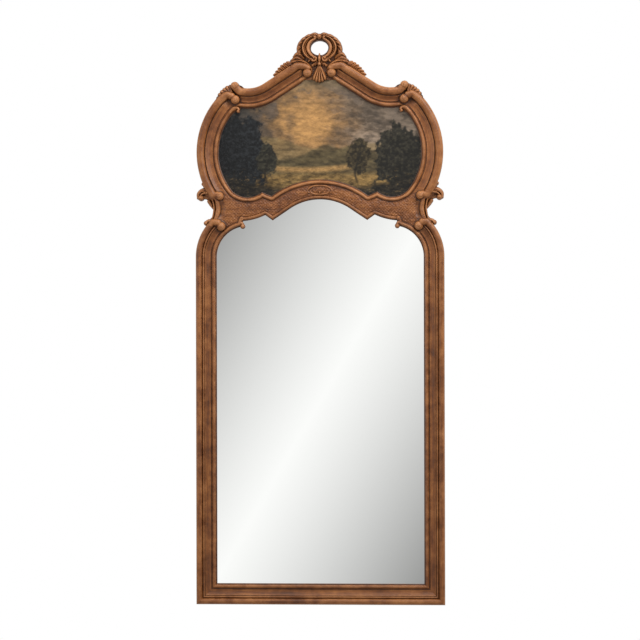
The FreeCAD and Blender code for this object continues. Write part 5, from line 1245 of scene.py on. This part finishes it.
class TRUMEAU_OT_mouldings(bpy.types.Operator):
    """Makes the stiles, the bottom rail and the mouldings round the picture"""
    bl_idname = "trumeau.mouldings"
    bl_label = "Mouldings"

    def execute(self, context):
        build_mouldings()
        return {"FINISHED"}


class TRUMEAU_OT_middle_rail(bpy.types.Operator):
    """Makes the carved rail between plate and picture"""
    bl_idname = "trumeau.middle_rail"
    bl_label = "Middle rail"

    def execute(self, context):
        build_middle_rail(context.scene.trumeau_wood)
        return {"FINISHED"}


class TRUMEAU_OT_crest(bpy.types.Operator):
    """Makes the crest with its ring and shell"""
    bl_idname = "trumeau.crest"
    bl_label = "Crest"

    def execute(self, context):
        build_crest(context.scene.trumeau_wood)
        return {"FINISHED"}


class TRUMEAU_OT_side_carvings(bpy.types.Operator):
    """Makes the corner blocks, the leaf sprays and the waist scrolls"""
    bl_idname = "trumeau.side_carvings"
    bl_label = "Corner, spray and waist carvings"

    def execute(self, context):
        build_side_carvings(context.scene.trumeau_wood)
        return {"FINISHED"}


class TRUMEAU_OT_painting(bpy.types.Operator):
    """Makes the painted panel"""
    bl_idname = "trumeau.painting"
    bl_label = "Painting"

    def execute(self, context):
        build_painting()
        return {"FINISHED"}


class TRUMEAU_OT_fittings(bpy.types.Operator):
    """Gives the plate, boards and fixings their materials"""
    bl_idname = "trumeau.fittings"
    bl_label = "Plate, boards and fixings"

    def execute(self, context):
        build_fittings()
        return {"FINISHED"}


class TRUMEAU_OT_stage(bpy.types.Operator):
    """Sets up lamps, surroundings and camera"""
    bl_idname = "trumeau.stage"
    bl_label = "Stage"

    def execute(self, context):
        build_stage(context.scene.trumeau_studio)
        return {"FINISHED"}


STEPS = (TRUMEAU_OT_materials, TRUMEAU_OT_mouldings, TRUMEAU_OT_middle_rail, TRUMEAU_OT_crest,
         TRUMEAU_OT_side_carvings, TRUMEAU_OT_painting, TRUMEAU_OT_fittings, TRUMEAU_OT_stage)
GROUPS = {"trumeau_wood": TRUMEAU_wood, "trumeau_glass": TRUMEAU_glass, "trumeau_studio": TRUMEAU_studio}


class TRUMEAU_PT_panel(bpy.types.Panel):
    """The sizes and colours, and the steps that build the mirror"""
    bl_idname = "TRUMEAU_PT_panel"
    bl_label = "Trumeau Mirror"
    bl_space_type = "VIEW_3D"
    bl_region_type = "UI"
    bl_category = "Trumeau"

    def draw(self, context):
        for name in GROUPS:
            box = self.layout.box()
            choices = getattr(context.scene, name)
            for key in choices.bl_rna.properties.keys():
                if key not in {"rna_type", "name"}:
                    box.prop(choices, key)
        for step in STEPS:
            self.layout.operator(step.bl_idname)


def register():
    for name, group in GROUPS.items():
        bpy.utils.register_class(group)
        setattr(bpy.types.Scene, name, bpy.props.PointerProperty(type=group))
    for step in (*STEPS, TRUMEAU_PT_panel):
        bpy.utils.register_class(step)


def unregister():
    for step in (TRUMEAU_PT_panel, *reversed(STEPS)):
        bpy.utils.unregister_class(step)
    for name, group in reversed(GROUPS.items()):
        delattr(bpy.types.Scene, name)
        bpy.utils.unregister_class(group)


def main():
    register()
    for step in STEPS:
        group, name = step.bl_idname.split(".")
        getattr(getattr(bpy.ops, group), name)()


if __name__ == "__main__":
    main()
